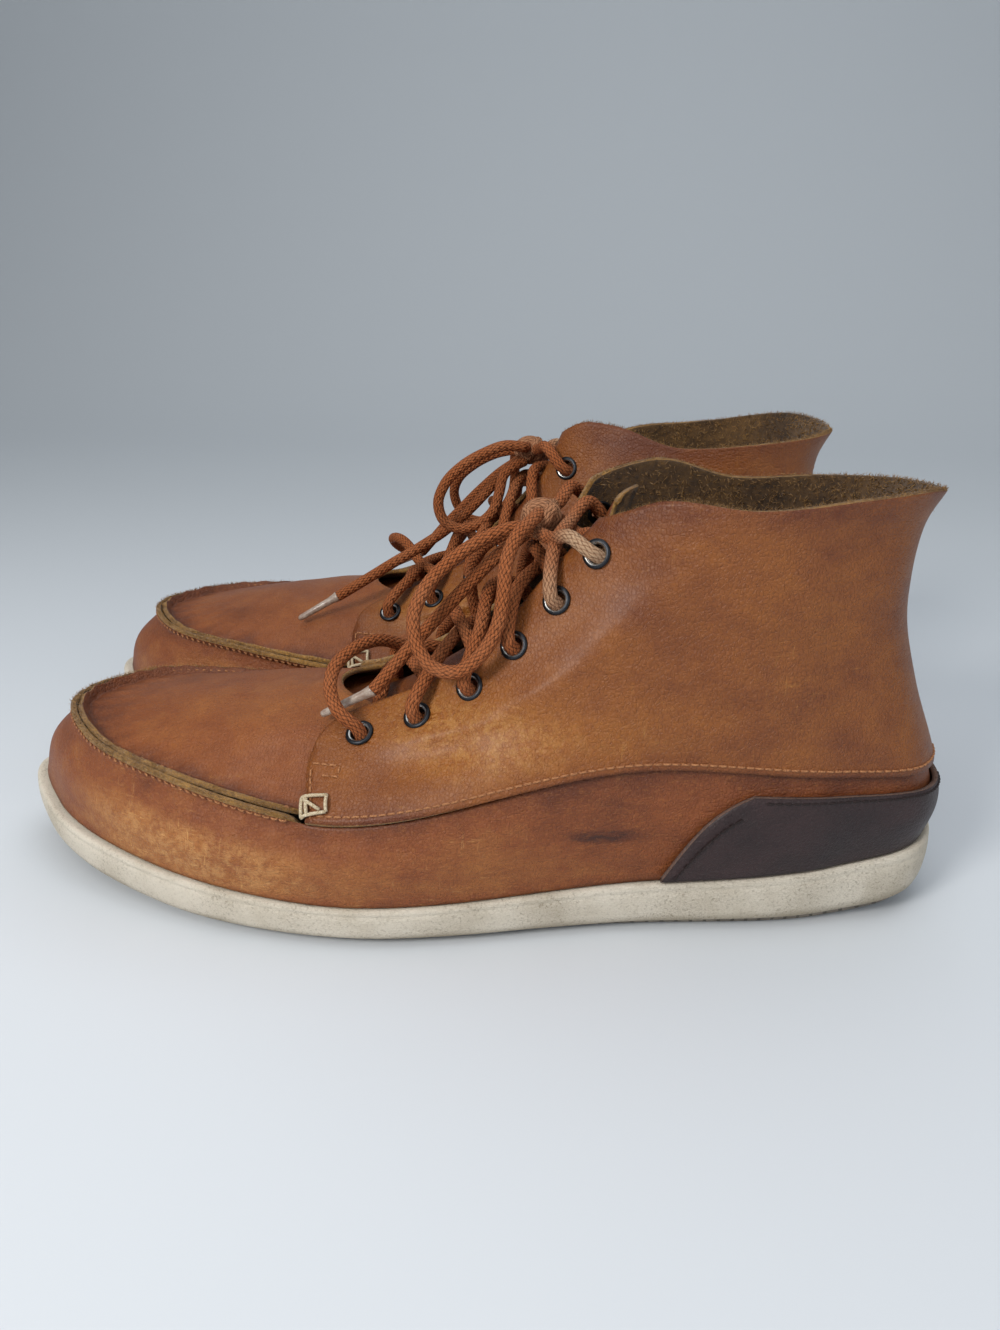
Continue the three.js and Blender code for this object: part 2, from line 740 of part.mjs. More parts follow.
/** One boot, in its own frame, with every piece named after the side it is for. */
function boot(name, routes) {
  const group = new THREE.Group(),
    piece = (part, geometry, material) => {
      const mesh = new THREE.Mesh(geometry, material);
      mesh.name = `${name}_${part}`;
      group.add(mesh);
      return mesh;
    };
  piece("outsole", outsole(), FINISHES.rubber);
  piece("midsole", midsole(), FINISHES.foam);
  piece("insole_board", solePlate(BOARD), FINISHES.board);
  piece("footbed", solePlate(FOOTBED), FINISHES.suede);
  piece("side_wall", sideWall(), FINISHES.wall);
  piece("heel_patch", heelPatch(), FINISHES.foxing);
  piece("heel_stiffener", heelStiffener(), FINISHES.stiffener);
  piece("apron", apron(), FINISHES.apron);
  piece("tongue", tongue(), FINISHES.suede);
  for (const side of ["lateral", "medial"]) {
    piece(`quarter_${side}`, quarter(side), FINISHES.tan);
    EYELET_PLACES.forEach(({ t, h }, i) => {
      const mesh = piece(`eyelet_${side}_${i + 1}`, eyelet(), FINISHES.eyelet),
        { point, normal } = skin(onSide(side, t), h);
      mesh.position.copy(point);
      mesh.quaternion.copy(turnTo(normal));
    });
  }
  piece("lace", threadedLace(), FINISHES.lace);
  for (const [side, { loop, tail, tip }] of Object.entries(routes)) {
    piece(`loop_${side}`, tube(loop.map(lacing)), FINISHES.lace);
    piece(`tail_${side}`, tube(tail.map(lacing)), FINISHES.lace);
    const mesh = piece(`aglet_${side}`, aglet(), FINISHES.aglet),
      end = lacing(tail.at(-1)),
      along = lacing(tip).sub(end).normalize();
    mesh.position.copy(end).addScaledVector(along, 3 * GAP);
    mesh.quaternion.copy(turnTo(along));
  }
  return group;
}

const left = boot("left", { lateral: SIDE_BOW, medial: INNER_BOW });
left.position.set(PAIR_STAGGER / 2, -PAIR_SPACING / 2, 0);
left.rotation.z = SPLAY;

const right = boot("right", { lateral: SIDE_BOW, medial: OPEN_BOW });
right.scale.y = -1;
right.position.set(-PAIR_STAGGER / 2, PAIR_SPACING / 2, 0);
right.rotation.z = -SPLAY;

const pair = new THREE.Group();
pair.add(left, right);

export default pair;
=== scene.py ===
"""A pair of tan leather deck boots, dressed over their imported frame.

Lengths are millimetres in a boot's own frame until a piece is placed, and metres afterwards.
A left boot's own frame has its toe towards -x and its lateral side at -y; s is the distance
from the heel towards the toe, t counts fourteen stations round the boot from the heel by the
lateral side, and h counts the last's rings up from the leather's lower edge.
"""

import logging
import math
import random
from collections.abc import Callable, Sequence
from dataclasses import dataclass, field
from enum import Enum

import bmesh
import bpy
import numpy as np
from mathutils import Euler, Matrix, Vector, noise

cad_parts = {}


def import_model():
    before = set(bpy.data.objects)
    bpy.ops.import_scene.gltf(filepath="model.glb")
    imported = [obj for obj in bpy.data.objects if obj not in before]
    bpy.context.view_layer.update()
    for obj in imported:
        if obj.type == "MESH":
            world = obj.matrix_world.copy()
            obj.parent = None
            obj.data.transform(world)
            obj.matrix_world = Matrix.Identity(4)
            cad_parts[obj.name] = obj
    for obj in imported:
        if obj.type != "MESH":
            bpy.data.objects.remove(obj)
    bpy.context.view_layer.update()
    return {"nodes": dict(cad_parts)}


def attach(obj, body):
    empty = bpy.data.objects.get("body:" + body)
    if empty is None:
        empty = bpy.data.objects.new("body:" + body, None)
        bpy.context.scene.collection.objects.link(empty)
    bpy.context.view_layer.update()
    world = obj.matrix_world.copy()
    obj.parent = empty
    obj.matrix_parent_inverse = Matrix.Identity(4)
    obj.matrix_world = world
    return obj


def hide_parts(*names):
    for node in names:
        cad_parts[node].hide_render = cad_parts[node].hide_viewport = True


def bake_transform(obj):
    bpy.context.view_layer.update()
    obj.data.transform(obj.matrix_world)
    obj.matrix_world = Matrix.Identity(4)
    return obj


Array = np.ndarray
log = logging.getLogger("deck_boots")

HEEL_X = 149.762
LEATHER = 1.8
OVERLAY = 2.4
STATIONS = 14
MOC = 2
COLLAR = 7
FRONT = 7
NEAR_HEEL = 0.014
MID_LEATHER = -0.9
FIBRE_TIP = 0.012
LEAN = np.array((0.3, 0.1, 1.0))


class Side(Enum):
    """The two sides of a boot."""

    LATERAL = "lateral"
    MEDIAL = "medial"

    def station(self, t: Array | float) -> Array | float:
        """The station on this side that answers to lateral station t."""
        return t if self is Side.LATERAL else STATIONS - t


# ---- Shader nodes -------------------------------------------------------------------------
class Wire:
    """A node's output that takes part in sums, and adds a Math node for each."""

    def __init__(self, bench: "Bench", socket: bpy.types.NodeSocket) -> None:
        """Keep the socket and the bench that it is wired on."""
        self.bench = bench
        self.socket = socket

    def _math(self, operation: str, *values: "Wire | float", clamp: bool = False) -> "Wire":
        """A Math node on the values."""
        inputs = dict(enumerate(values))
        return self.bench.add("ShaderNodeMath", inputs, operation=operation, use_clamp=clamp)

    def __add__(self, other: "Wire | float") -> "Wire":
        """The sum."""
        return self._math("ADD", self, other)

    __radd__ = __add__

    def __sub__(self, other: "Wire | float") -> "Wire":
        """The difference."""
        return self._math("SUBTRACT", self, other)

    def __rsub__(self, other: float) -> "Wire":
        """The difference the other way round."""
        return self._math("SUBTRACT", other, self)

    def __mul__(self, other: "Wire | float") -> "Wire":
        """The product."""
        return self._math("MULTIPLY", self, other)

    __rmul__ = __mul__

    def __truediv__(self, other: "Wire | float") -> "Wire":
        """The quotient."""
        return self._math("DIVIDE", self, other)

    def __pow__(self, other: float) -> "Wire":
        """The power."""
        return self._math("POWER", self, other)

    def above(self, low: float, high: float) -> "Wire":
        """0 below low, 1 above high, and smooth between; high below low turns it round."""
        values = {"Value": self, "From Min": low, "From Max": high}
        return self.bench.add("ShaderNodeMapRange", values, interpolation_type="SMOOTHSTEP")

    def wave(self, turns: float = 1.0) -> "Wire":
        """A sine of this many turns per unit, from -1 to 1."""
        return self._math("SINE", self * (2 * math.pi * turns))

    def fraction(self) -> "Wire":
        """The part after the decimal point."""
        return self._math("FRACT", self)

    def size(self) -> "Wire":
        """The value without its sign."""
        return self._math("ABSOLUTE", self)


class Bench:
    """One material's node tree, with a Principled shader at its end."""

    def __init__(self, name: str) -> None:
        """Make the material and empty its tree."""
        self.material = bpy.data.materials.new(name)
        self.material.use_nodes = True
        self.tree = self.material.node_tree
        self.tree.nodes.clear()
        self.shader = self.tree.nodes.new("ShaderNodeBsdfPrincipled")
        end = self.tree.nodes.new("ShaderNodeOutputMaterial")
        self.tree.links.new(self.shader.outputs[0], end.inputs[0])

    def add(
        self,
        kind: str,
        inputs: dict | None = None,
        output: int | str = 0,
        stops: Sequence[tuple[float, str]] = (),
        **settings: object,
    ) -> Wire:
        """Add a node.

        Args:
            kind: the node's type.
            inputs: values, colour codes or wires by socket name or number.
            output: the output to return.
            stops: a ramp's positions and colour codes.
            **settings: the node's own settings, set first.

        Returns:
            The chosen output as a wire.
        """
        node = self.tree.nodes.new(kind)
        for key, value in settings.items():
            setattr(node, key, value)
        if stops:
            ramp = node.color_ramp.elements
            while len(ramp) < len(stops):
                ramp.new(0.5)
            for element, (position, code) in zip(ramp, stops, strict=True):
                element.position = position
                element.color = (*rgb(code), 1)
        for key, value in (inputs or {}).items():
            self.feed(node, key, value)
        return Wire(self, node.outputs[output])

    def feed(self, node: bpy.types.Node, key: int | str, value: object) -> None:
        """Set or link one input of a node."""
        socket = node.inputs[key]
        if isinstance(value, Wire):
            self.tree.links.new(value.socket, socket)
        else:
            socket.default_value = (*rgb(value), 1) if isinstance(value, str) else value

    def axes(self, output: str = "Object") -> tuple[Wire, Wire]:
        """The first two of a point's texture coordinates."""
        parts = self.tree.nodes.new("ShaderNodeSeparateXYZ")
        self.feed(parts, 0, self.add("ShaderNodeTexCoord", output=output))
        return Wire(self, parts.outputs[0]), Wire(self, parts.outputs[1])

    def place(self, scale: tuple[float, float, float] = (1, 1, 1), turn: float = 0) -> Wire:
        """Object coordinates in metres, stretched by scale and turned about y."""
        inputs = {
            "Vector": self.add("ShaderNodeTexCoord", output="Object"),
            "Scale": scale,
            "Rotation": (0, turn, 0),
        }
        return self.add("ShaderNodeMapping", inputs)

    def cloud(self, scale: float, detail: float = 4, rough: float = 0.55, at: Wire | None = None) -> Wire:
        """Cloudy noise from 0 to 1 with features of about 1/scale metres."""
        inputs = {"Vector": at or self.place(), "Scale": scale, "Detail": detail, "Roughness": rough}
        return self.add("ShaderNodeTexNoise", inputs)

    def cells(self, scale: float, feature: str = "F1", at: Wire | None = None) -> Wire:
        """Distance in a pattern of cells."""
        inputs = {"Vector": at or self.place(), "Scale": scale}
        return self.add("ShaderNodeTexVoronoi", inputs, "Distance", feature=feature)

    def blend(self, share: Wire | float, a: object, b: object, mode: str = "MIX") -> Wire:
        """The colour that goes from a to b."""
        inputs = {"Factor": share, 6: a, 7: b}
        return self.add("ShaderNodeMix", inputs, 2, data_type="RGBA", blend_type=mode)

    def painted(self, name: str) -> Wire:
        """A number painted on the mesh."""
        return self.add("ShaderNodeAttribute", output="Fac", attribute_name=name)

    def relief(self, height: Wire, depth: float, strength: float = 1.0, under: Wire | None = None) -> Wire:
        """A Bump node's normal from a height of 0 to 1 and its depth in metres, over another's."""
        inputs = {"Height": height, "Distance": depth, "Strength": strength}
        if under:
            inputs["Normal"] = under
        return self.add("ShaderNodeBump", inputs)

    def finish(self, **values: object) -> bpy.types.Material:
        """Feed the shader and return the material; _ stands for a blank in a socket's name."""
        for key, value in values.items():
            self.feed(self.shader, key.replace("_", " "), value)
        return self.material


def rgb(code: str) -> tuple[float, float, float]:
    """A linear colour from six hexadecimal digits."""
    parts = [int(code[i : i + 2], 16) / 255 for i in (0, 2, 4)]
    return tuple(p / 12.92 if p <= 0.04045 else ((p + 0.055) / 1.055) ** 2.4 for p in parts)


@dataclass(frozen=True)
class Leather:
    """Smooth oiled leather, with pores, wear and creases, and painted shade where its tone is low."""

    name: str
    dark: str
    middle: str
    light: str
    scuff: str
    rough: float = 0.37
    wear: float = 1.0
    coat: float = 0.1

    def material(self) -> bpy.types.Material:
        """The leather's smooth outer face."""
        b = Bench(self.name)
        tone = b.painted("tone")
        broad = b.cloud(26, 5, 0.6)
        patchy = b.cloud(95, 4, 0.6, b.place((1, 1, 1.6)))
        level = broad * 0.62 + patchy * 0.38 + tone * 0.3
        stops = [(0.3, self.dark), (0.5, self.middle), (0.72, self.light)]
        colour = b.add("ShaderNodeValToRGB", {"Fac": level}, stops=stops)
        freckle = b.cloud(900, 3, 0.6).above(0.42, 0.7)
        colour = b.blend(freckle * 0.3, colour, self.dark)
        streak = b.cloud(560, 5, 0.7, b.place((1, 1, 3.2), 0.7)).above(0.5, 0.7)
        colour = b.blend(streak * 0.3 * self.wear, colour, self.light)
        scratch = b.cloud(130, 6, 0.78, b.place((1, 1, 6), 0.5)).above(0.57, 0.68)
        cross = b.cloud(110, 6, 0.78, b.place((6, 1, 1), 0.3)).above(0.58, 0.69)
        haze = b.cloud(300, 6, 0.75).above(0.42, 0.62) * tone.above(0.15, 0.9)
        colour = b.blend(haze * 0.55, colour, self.scuff)
        worn = b.cloud(34, 3, 0.6).above(0.45, 0.68)
        rubbed = tone.above(0.1, 0.9)
        marks = (scratch + cross) * (worn * 0.45 + rubbed * 0.7) * (0.7 * self.wear)
        colour = b.blend(marks, colour, self.scuff)
        pits = b.cells(1500).above(0.32, 0.05)
        colour = b.blend(pits * 0.3, colour, self.dark)
        # Painted shade with a real scuff: where the painted tone is low (along seams and lower edges, in the
        # apron's lip, over the tongue) a dark smear is laid on, as on the side wall's dark scuff.
        scuff_and_painted_shade = tone.above(-0.25, -1.1)
        dark_patchiness = b.cloud(380, 5, 0.75, b.place((0.4, 1, 1.8))).above(0.44, 0.58)
        colour = b.blend(scuff_and_painted_shade * (0.2 + dark_patchiness * 0.7), colour, "3A1C12")
        wrinkle = b.cells(240, "DISTANCE_TO_EDGE", b.place((1, 1, 1.7), 0.4)).above(0.0, 0.16)
        fine = b.cells(720, "DISTANCE_TO_EDGE", b.place((1.3, 1, 1))).above(0.0, 0.2)
        grain = fine * 0.3 + wrinkle * 0.2 + b.cloud(640, 5, 0.7) * 0.5
        deep = b.relief(grain, 0.00048, 0.9)
        normal = b.relief(1 - pits * 0.7 - marks * 0.3, 0.0001, 0.6, deep)
        rough = self.rough + broad * 0.08 + pits * 0.12 + marks * 0.25 + b.cloud(300, 4) * 0.12
        return b.finish(
            Base_Color=colour, Roughness=rough, Normal=normal, Coat_Weight=self.coat,
            Coat_Roughness=0.3, IOR=1.46, Specular_IOR_Level=0.45,
        )


@dataclass(frozen=True)
class Suede:
    """The leather's fuzzy flesh side, or its raw cut edge."""

    name: str
    dark: str
    light: str
    nap: float = 700

    def material(self) -> bpy.types.Material:
        """The nap, lighter where it stands up."""
        b = Bench(self.name)
        fuzz = b.cloud(self.nap, 8, 0.8)
        brushed = b.cloud(60, 5, 0.65)
        share = (fuzz * 0.75 + brushed * 0.45).above(0.38, 0.82)
        colour = b.blend(share, self.dark, self.light)
        normal = b.relief(fuzz, 0.0016, 1.0)
        return b.finish(
            Base_Color=colour, Roughness=0.96, Normal=normal, Specular_IOR_Level=0.15,
            Sheen_Weight=0.25, Sheen_Roughness=0.5,
        )


@dataclass(frozen=True)
class Braid:
    """A round braid of cotton yarns, worn pale where it has rubbed."""

    name: str
    yarn: str
    shade: str
    worn: str
    strands: int = 10
    pitch: float = 5.2

    def material(self) -> bpy.types.Material:
        """The braid in the piece's own UVs: u once round, v in millimetres along it."""
        b = Bench(self.name)
        u, v = b.axes("UV")
        u, v = u * (self.strands / 2), v / self.pitch
        left, right = u + v, u - v
        over = ((left.fraction() - 0.5) * (right.fraction() - 0.5)).above(-0.02, 0.02)
        ridges = [1 - (((way * 2).fraction() - 0.5) * 2).size() ** 2.0 for way in (left, right)]
        height = ridges[0] * over + ridges[1] * (1 - over)
        fibre = b.cloud(2600, 4, 0.7)
        fade = b.cloud(70, 4, 0.6)
        colour = b.blend(height.above(0.0, 0.75), self.shade, self.yarn)
        colour = b.blend(fade.above(0.35, 0.8) * 0.4, colour, "B87A54")
        colour = b.blend(fibre.above(0.42, 0.7) * 0.4, colour, self.shade)
        wear = b.painted("wear")
        pale = b.blend((fibre * 0.6 + height * 0.4).above(0.25, 0.7), "8A5E40", self.worn)
        colour = b.blend(wear.above(0.15, 0.8), colour, pale)
        relief = height * 0.8 + fibre * (0.25 + wear * 0.5)
        return b.finish(
            Base_Color=colour, Roughness=0.93, Normal=b.relief(relief, 0.0006, 1.0),
            Specular_IOR_Level=0.2,
        )


@dataclass(frozen=True)
class Foam:
    """Matt expanded rubber, finely crackled and stained, and darker near the ground."""

    name: str
    clean: str
    soiled: str
    crackle: float = 900

    def material(self) -> bpy.types.Material:
        """The pale side of the sole."""
        b = Bench(self.name)
        tone = b.painted("tone")
        low = tone.above(0.1, -0.6)
        cracks = b.cells(self.crackle, "DISTANCE_TO_EDGE", b.place((1, 1, 1.5))).above(0.0, 0.12)
        fine = b.cloud(1500, 4, 0.7)
        stain = b.cloud(38, 5, 0.65).above(0.42, 0.75)
        spots = b.cloud(1100, 4, 0.7).above(0.56, 0.62) * (0.3 + low * 0.7)
        colour = b.blend(stain * 0.5, self.clean, self.soiled)
        colour = b.blend((1 - cracks) * (0.1 + low * 0.3), colour, self.soiled)
        colour = b.blend(spots * 0.5, colour, "7E725F")
        # Darker towards the bottom, where the painted tone is low.
        colour = b.blend(tone.above(-0.1, -1.0) * 0.7, colour, "94866F")
        height = cracks * 0.3 + fine * 0.4 + (1 - spots) * 0.3
        return b.finish(
            Base_Color=colour, Roughness=0.78, Normal=b.relief(height, 0.0004, 0.7),
            Specular_IOR_Level=0.35,
        )


@dataclass(frozen=True)
class Tread:
    """Dusty rubber with fine wavy cuts across it."""

    name: str
    colour: str
    dust: str

    def material(self) -> bpy.types.Material:
        """The tread under the sole."""
        b = Bench(self.name)
        x, y = b.axes()
        cuts = ((x * 220) + y.wave(60) * 0.35).wave().above(-0.9, -0.6)
        dust = b.cloud(90, 5, 0.65)
        colour = b.blend(dust.above(0.35, 0.75), self.colour, self.dust)
        # Painted shade: the cuts are coloured darker, as shade in the grooves.
        colour = b.blend((1 - cuts) * 0.6, colour, "3C3832")
        height = cuts * 0.8 + b.cloud(900, 3) * 0.2
        return b.finish(Base_Color=colour, Roughness=0.88, Normal=b.relief(height, 0.0006, 0.8))


@dataclass(frozen=True)
class Metal:
    """Plated brass: gunmetal, bright where the lace rubs."""

    name: str
    plate: str
    bright: str

    def material(self) -> bpy.types.Material:
        """The eyelets' metal, brighter where the mesh is painted worn."""
        b = Bench(self.name)
        wear = b.painted("wear")
        mottle = b.cloud(900, 4, 0.7)
        share = (wear + (mottle - 0.5) * 0.5).above(0.3, 0.7)
        colour = b.blend(share, self.plate, self.bright)
        rough = 0.36 - share * 0.14 + mottle * 0.12
        return b.finish(
            Base_Color=colour, Metallic=1.0, Roughness=rough, Normal=b.relief(mottle, 0.00005, 0.4)
        )


@dataclass(frozen=True)
class Thread:
    """Twisted sewing thread."""

    name: str
    light: str
    dark: str

    def material(self) -> bpy.types.Material:
        """Thread with a fine twist along it."""
        b = Bench(self.name)
        fibre = b.cloud(2400, 4, 0.7, b.place((1, 1, 2)))
        colour = b.blend(fibre.above(0.35, 0.65), self.dark, self.light)
        return b.finish(Base_Color=colour, Roughness=0.8, Normal=b.relief(fibre, 0.0002, 0.7))


@dataclass(frozen=True)
class Film:
    """Clouded clear film round a lace's end."""

    name: str
    colour: str

    def material(self) -> bpy.types.Material:
        """The lace's tip."""
        b = Bench(self.name)
        cloudy = b.cloud(500, 4, 0.6)
        colour = b.blend(cloudy.above(0.3, 0.7), self.colour, "B4A596")
        return b.finish(
            Base_Color=colour, Roughness=0.22 + cloudy * 0.2, Normal=b.relief(cloudy, 0.00015, 0.5),
            Coat_Weight=0.6, Coat_Roughness=0.12,
        )


@dataclass(frozen=True)
class Board:
    """Pressed fibre board."""

    name: str
    colour: str
    fleck: str

    def material(self) -> bpy.types.Material:
        """Flecked board."""
        b = Bench(self.name)
        flecks = b.cloud(700, 6, 0.75)
        colour = b.blend(flecks.above(0.4, 0.7), self.colour, self.fleck)
        return b.finish(Base_Color=colour, Roughness=0.92, Normal=b.relief(flecks, 0.0003, 0.7))


class Finishes:
    """Every material of the pair, made once."""

    def __init__(self) -> None:
        """Make them."""
        self.quarter = Leather("quarter_leather", "643013", "81481B", "96591F", "B98444").material()
        self.apron = Leather("apron_leather", "6A3618", "874A21", "9B5D2A", "BC8748", 0.44, 1.1).material()
        self.wall = Leather("wall_leather", "633015", "84461F", "A26530", "C9965C", 0.45, 1.5).material()
        self.patch = Leather("patch_leather", "211516", "301F1F", "3D2828", "564038", 0.42, 0.4).material()
        self.suede = Suede("flesh_side", "2A1B10", "7C5A30", 420).material()
        self.edge = Suede("raw_edge", "6E4518", "D09A48", 900).material()
        self.patch_edge = Suede("patch_raw_edge", "3E2418", "95664A", 900).material()
        self.fibre = Suede("loose_fibre", "8A5C26", "D6A256", 900).material()
        self.braid = Braid("lace_braid", "A65F35", "33170D", "C2A080").material()
        self.foam = Foam("midsole_foam", "D8CFBF", "AA9D86").material()
        self.tread = Tread("outsole_rubber", "7A7268", "A79D8E").material()
        self.metal = Metal("eyelet_metal", "34363A", "C8C8C4").material()
        self.brown_thread = Thread("brown_thread", "C08758", "7E4A2A").material()
        self.dark_thread = Thread("dark_thread", "2C1B18", "140C0B").material()
        self.cream_thread = Thread("cream_thread", "DDD0B4", "9C8460").material()
        self.film = Film("aglet_film", "8E7668").material()
        self.board = Board("fibre_board", "9A8A6C", "6E6048").material()


# ---- The last -----------------------------------------------------------------------------
def smooth(x: Array | float, low: float, high: float) -> Array:
    """0 below low, 1 above high, smooth between."""
    f = np.clip((np.asarray(x, float) - low) / (high - low), 0, 1)
    return f * f * (3 - 2 * f)


def length_of(a: Array) -> Array:
    """Each row's length, as a column."""
    return np.maximum(np.linalg.norm(a, axis=-1, keepdims=True), 1e-6)


def tangent(a: Array, b: Array, c: Array) -> Array:
    """The direction through b from a to c, weighted by how near each neighbour is."""
    before, after = length_of(b - a), length_of(c - b)
    return ((b - a) * after / before + (c - b) * before / after) / (before + after)


def hermite(a: Array, b: Array, da: Array, db: Array, f: Array) -> Array:
    """The cubic from a to b with end directions da and db."""
    span = length_of(b - a)
    f2, f3 = f * f, f * f * f
    ends = a * (2 * f3 - 3 * f2 + 1) + da * (f3 - 2 * f2 + f) * span
    return ends + b * (3 * f2 - 2 * f3) + db * (f3 - f2) * span


def ring(heel: tuple, lateral: Sequence[tuple], front: tuple, medial: Sequence[tuple]) -> list[tuple]:
    """A ring's fourteen stations in order round the boot."""
    return [heel, *lateral, front, *reversed(medial)]


# From the leather's lower edge up to the collar.
RINGS = [
    ring(
        (0.5, 3, 25.5),
        [(8, -17, 25), (33, -28, 22), (95, -38.5, 18), (190, -54, 14.5), (243, -42, 18), (286, -15, 23)],
        (300.5, 9.5, 26),
        [(8, 23, 25), (33, 35.5, 22), (95, 33.5, 18), (190, 49.5, 14.5), (243, 46.5, 18), (285, 33, 23)],
    ),
    ring(
        (-2, 3, 36),
        [
            (6, -18.5, 36), (32, -30.5, 36.5), (95, -41, 36),
            (190, -54.5, 27), (243, -42.5, 31), (284, -15, 36),
        ],
        (296.5, 10, 38),
        [(6, 24.5, 36), (32, 37.5, 36.5), (95, 37, 36), (190, 51.5, 27), (243, 47, 31), (281, 33.5, 36)],
    ),
    ring(
        (1, 3, 47.5),
        [
            (8.5, -17.5, 49.5), (34, -29, 52.5), (88, -38, 57),
            (190, -49.5, 39.5), (237, -38, 45.5), (269, -20, 49),
        ],
        (285, 8, 50),
        [
            (8.5, 23, 49.5), (34, 36.5, 52.5), (88, 37, 57),
            (190, 46.5, 39.5), (237, 43.5, 45.5), (269, 34, 49),
        ],
    ),
    ring(
        (10.5, 3, 73),
        [
            (16.5, -15.5, 73), (40, -26.5, 73), (92, -36, 70),
            (191, -31, 54), (216, -25, 56.5), (232, -11, 58),
        ],
        (238, 4, 58.5),
        [(16.5, 20.5, 73), (40, 31.5, 73), (92, 35, 70), (191, 31, 54), (216, 28, 56.5), (232, 18, 58)],
    ),
    ring(
        (16, 2, 95),
        [
            (22, -14, 95), (43, -25, 95), (90, -32, 87),
            (165, -28, 61.5), (184, -17, 62.5), (194, -8.5, 63.5),
        ],
        (197, 0.5, 64),
        [(22, 18, 95), (43, 28, 95), (90, 32, 87), (165, 28.5, 61.5), (184, 18, 62.5), (194, 9.5, 63.5)],
    ),
    ring(
        (16.5, 1, 112),
        [
            (22, -13.5, 112), (42, -24.5, 112), (82, -29.5, 105),
            (122, -28, 86), (141, -18, 86), (148, -8.5, 86),
        ],
        (150, 0, 86.5),
        [(22, 16.5, 112), (42, 26, 112), (82, 29.5, 105), (122, 28, 86), (141, 18, 86), (148, 9, 86)],
    ),
    ring(
        (14.5, 0.5, 124),
        [
            (20.5, -13, 124), (40, -24, 123), (74, -28, 119),
            (102, -25, 107.5), (120, -15.5, 107.5), (125, -7.5, 107.5),
        ],
        (126.5, 0, 107.5),
        [
            (20.5, 15, 123), (40, 25.5, 120), (74, 28, 117),
            (102, 25, 108.5), (120, 16, 108.5), (125, 8, 108),
        ],
    ),
    ring(
        (10, 0, 133),
        [
            (17, -13.5, 135), (36, -24.5, 134.3), (65, -27.5, 131),
            (90, -22.5, 131.5), (106, -14.5, 123.5), (109, -7, 122),
        ],
        (110, 0, 121.5),
        [
            (17, 14.5, 132), (36, 25, 130.3), (65, 27, 128.5),
            (90, 22, 134.5), (109, 15, 128.5), (111, 7, 124),
        ],
    ),
]
SOLE = ring(
    (-3.5, 3, 0),
    [(4.5, -20, 0), (31, -30.5, 0), (95, -40.5, 0), (190, -55.5, 0), (244, -44, 0), (289, -17, 0)],
    (304.5, 9.5, 0),
    [(4.5, 26.5, 0), (31, 38.5, 0), (95, 36, 0), (190, 52.5, 0), (244, 48.5, 0), (288, 35.5, 0)],
)


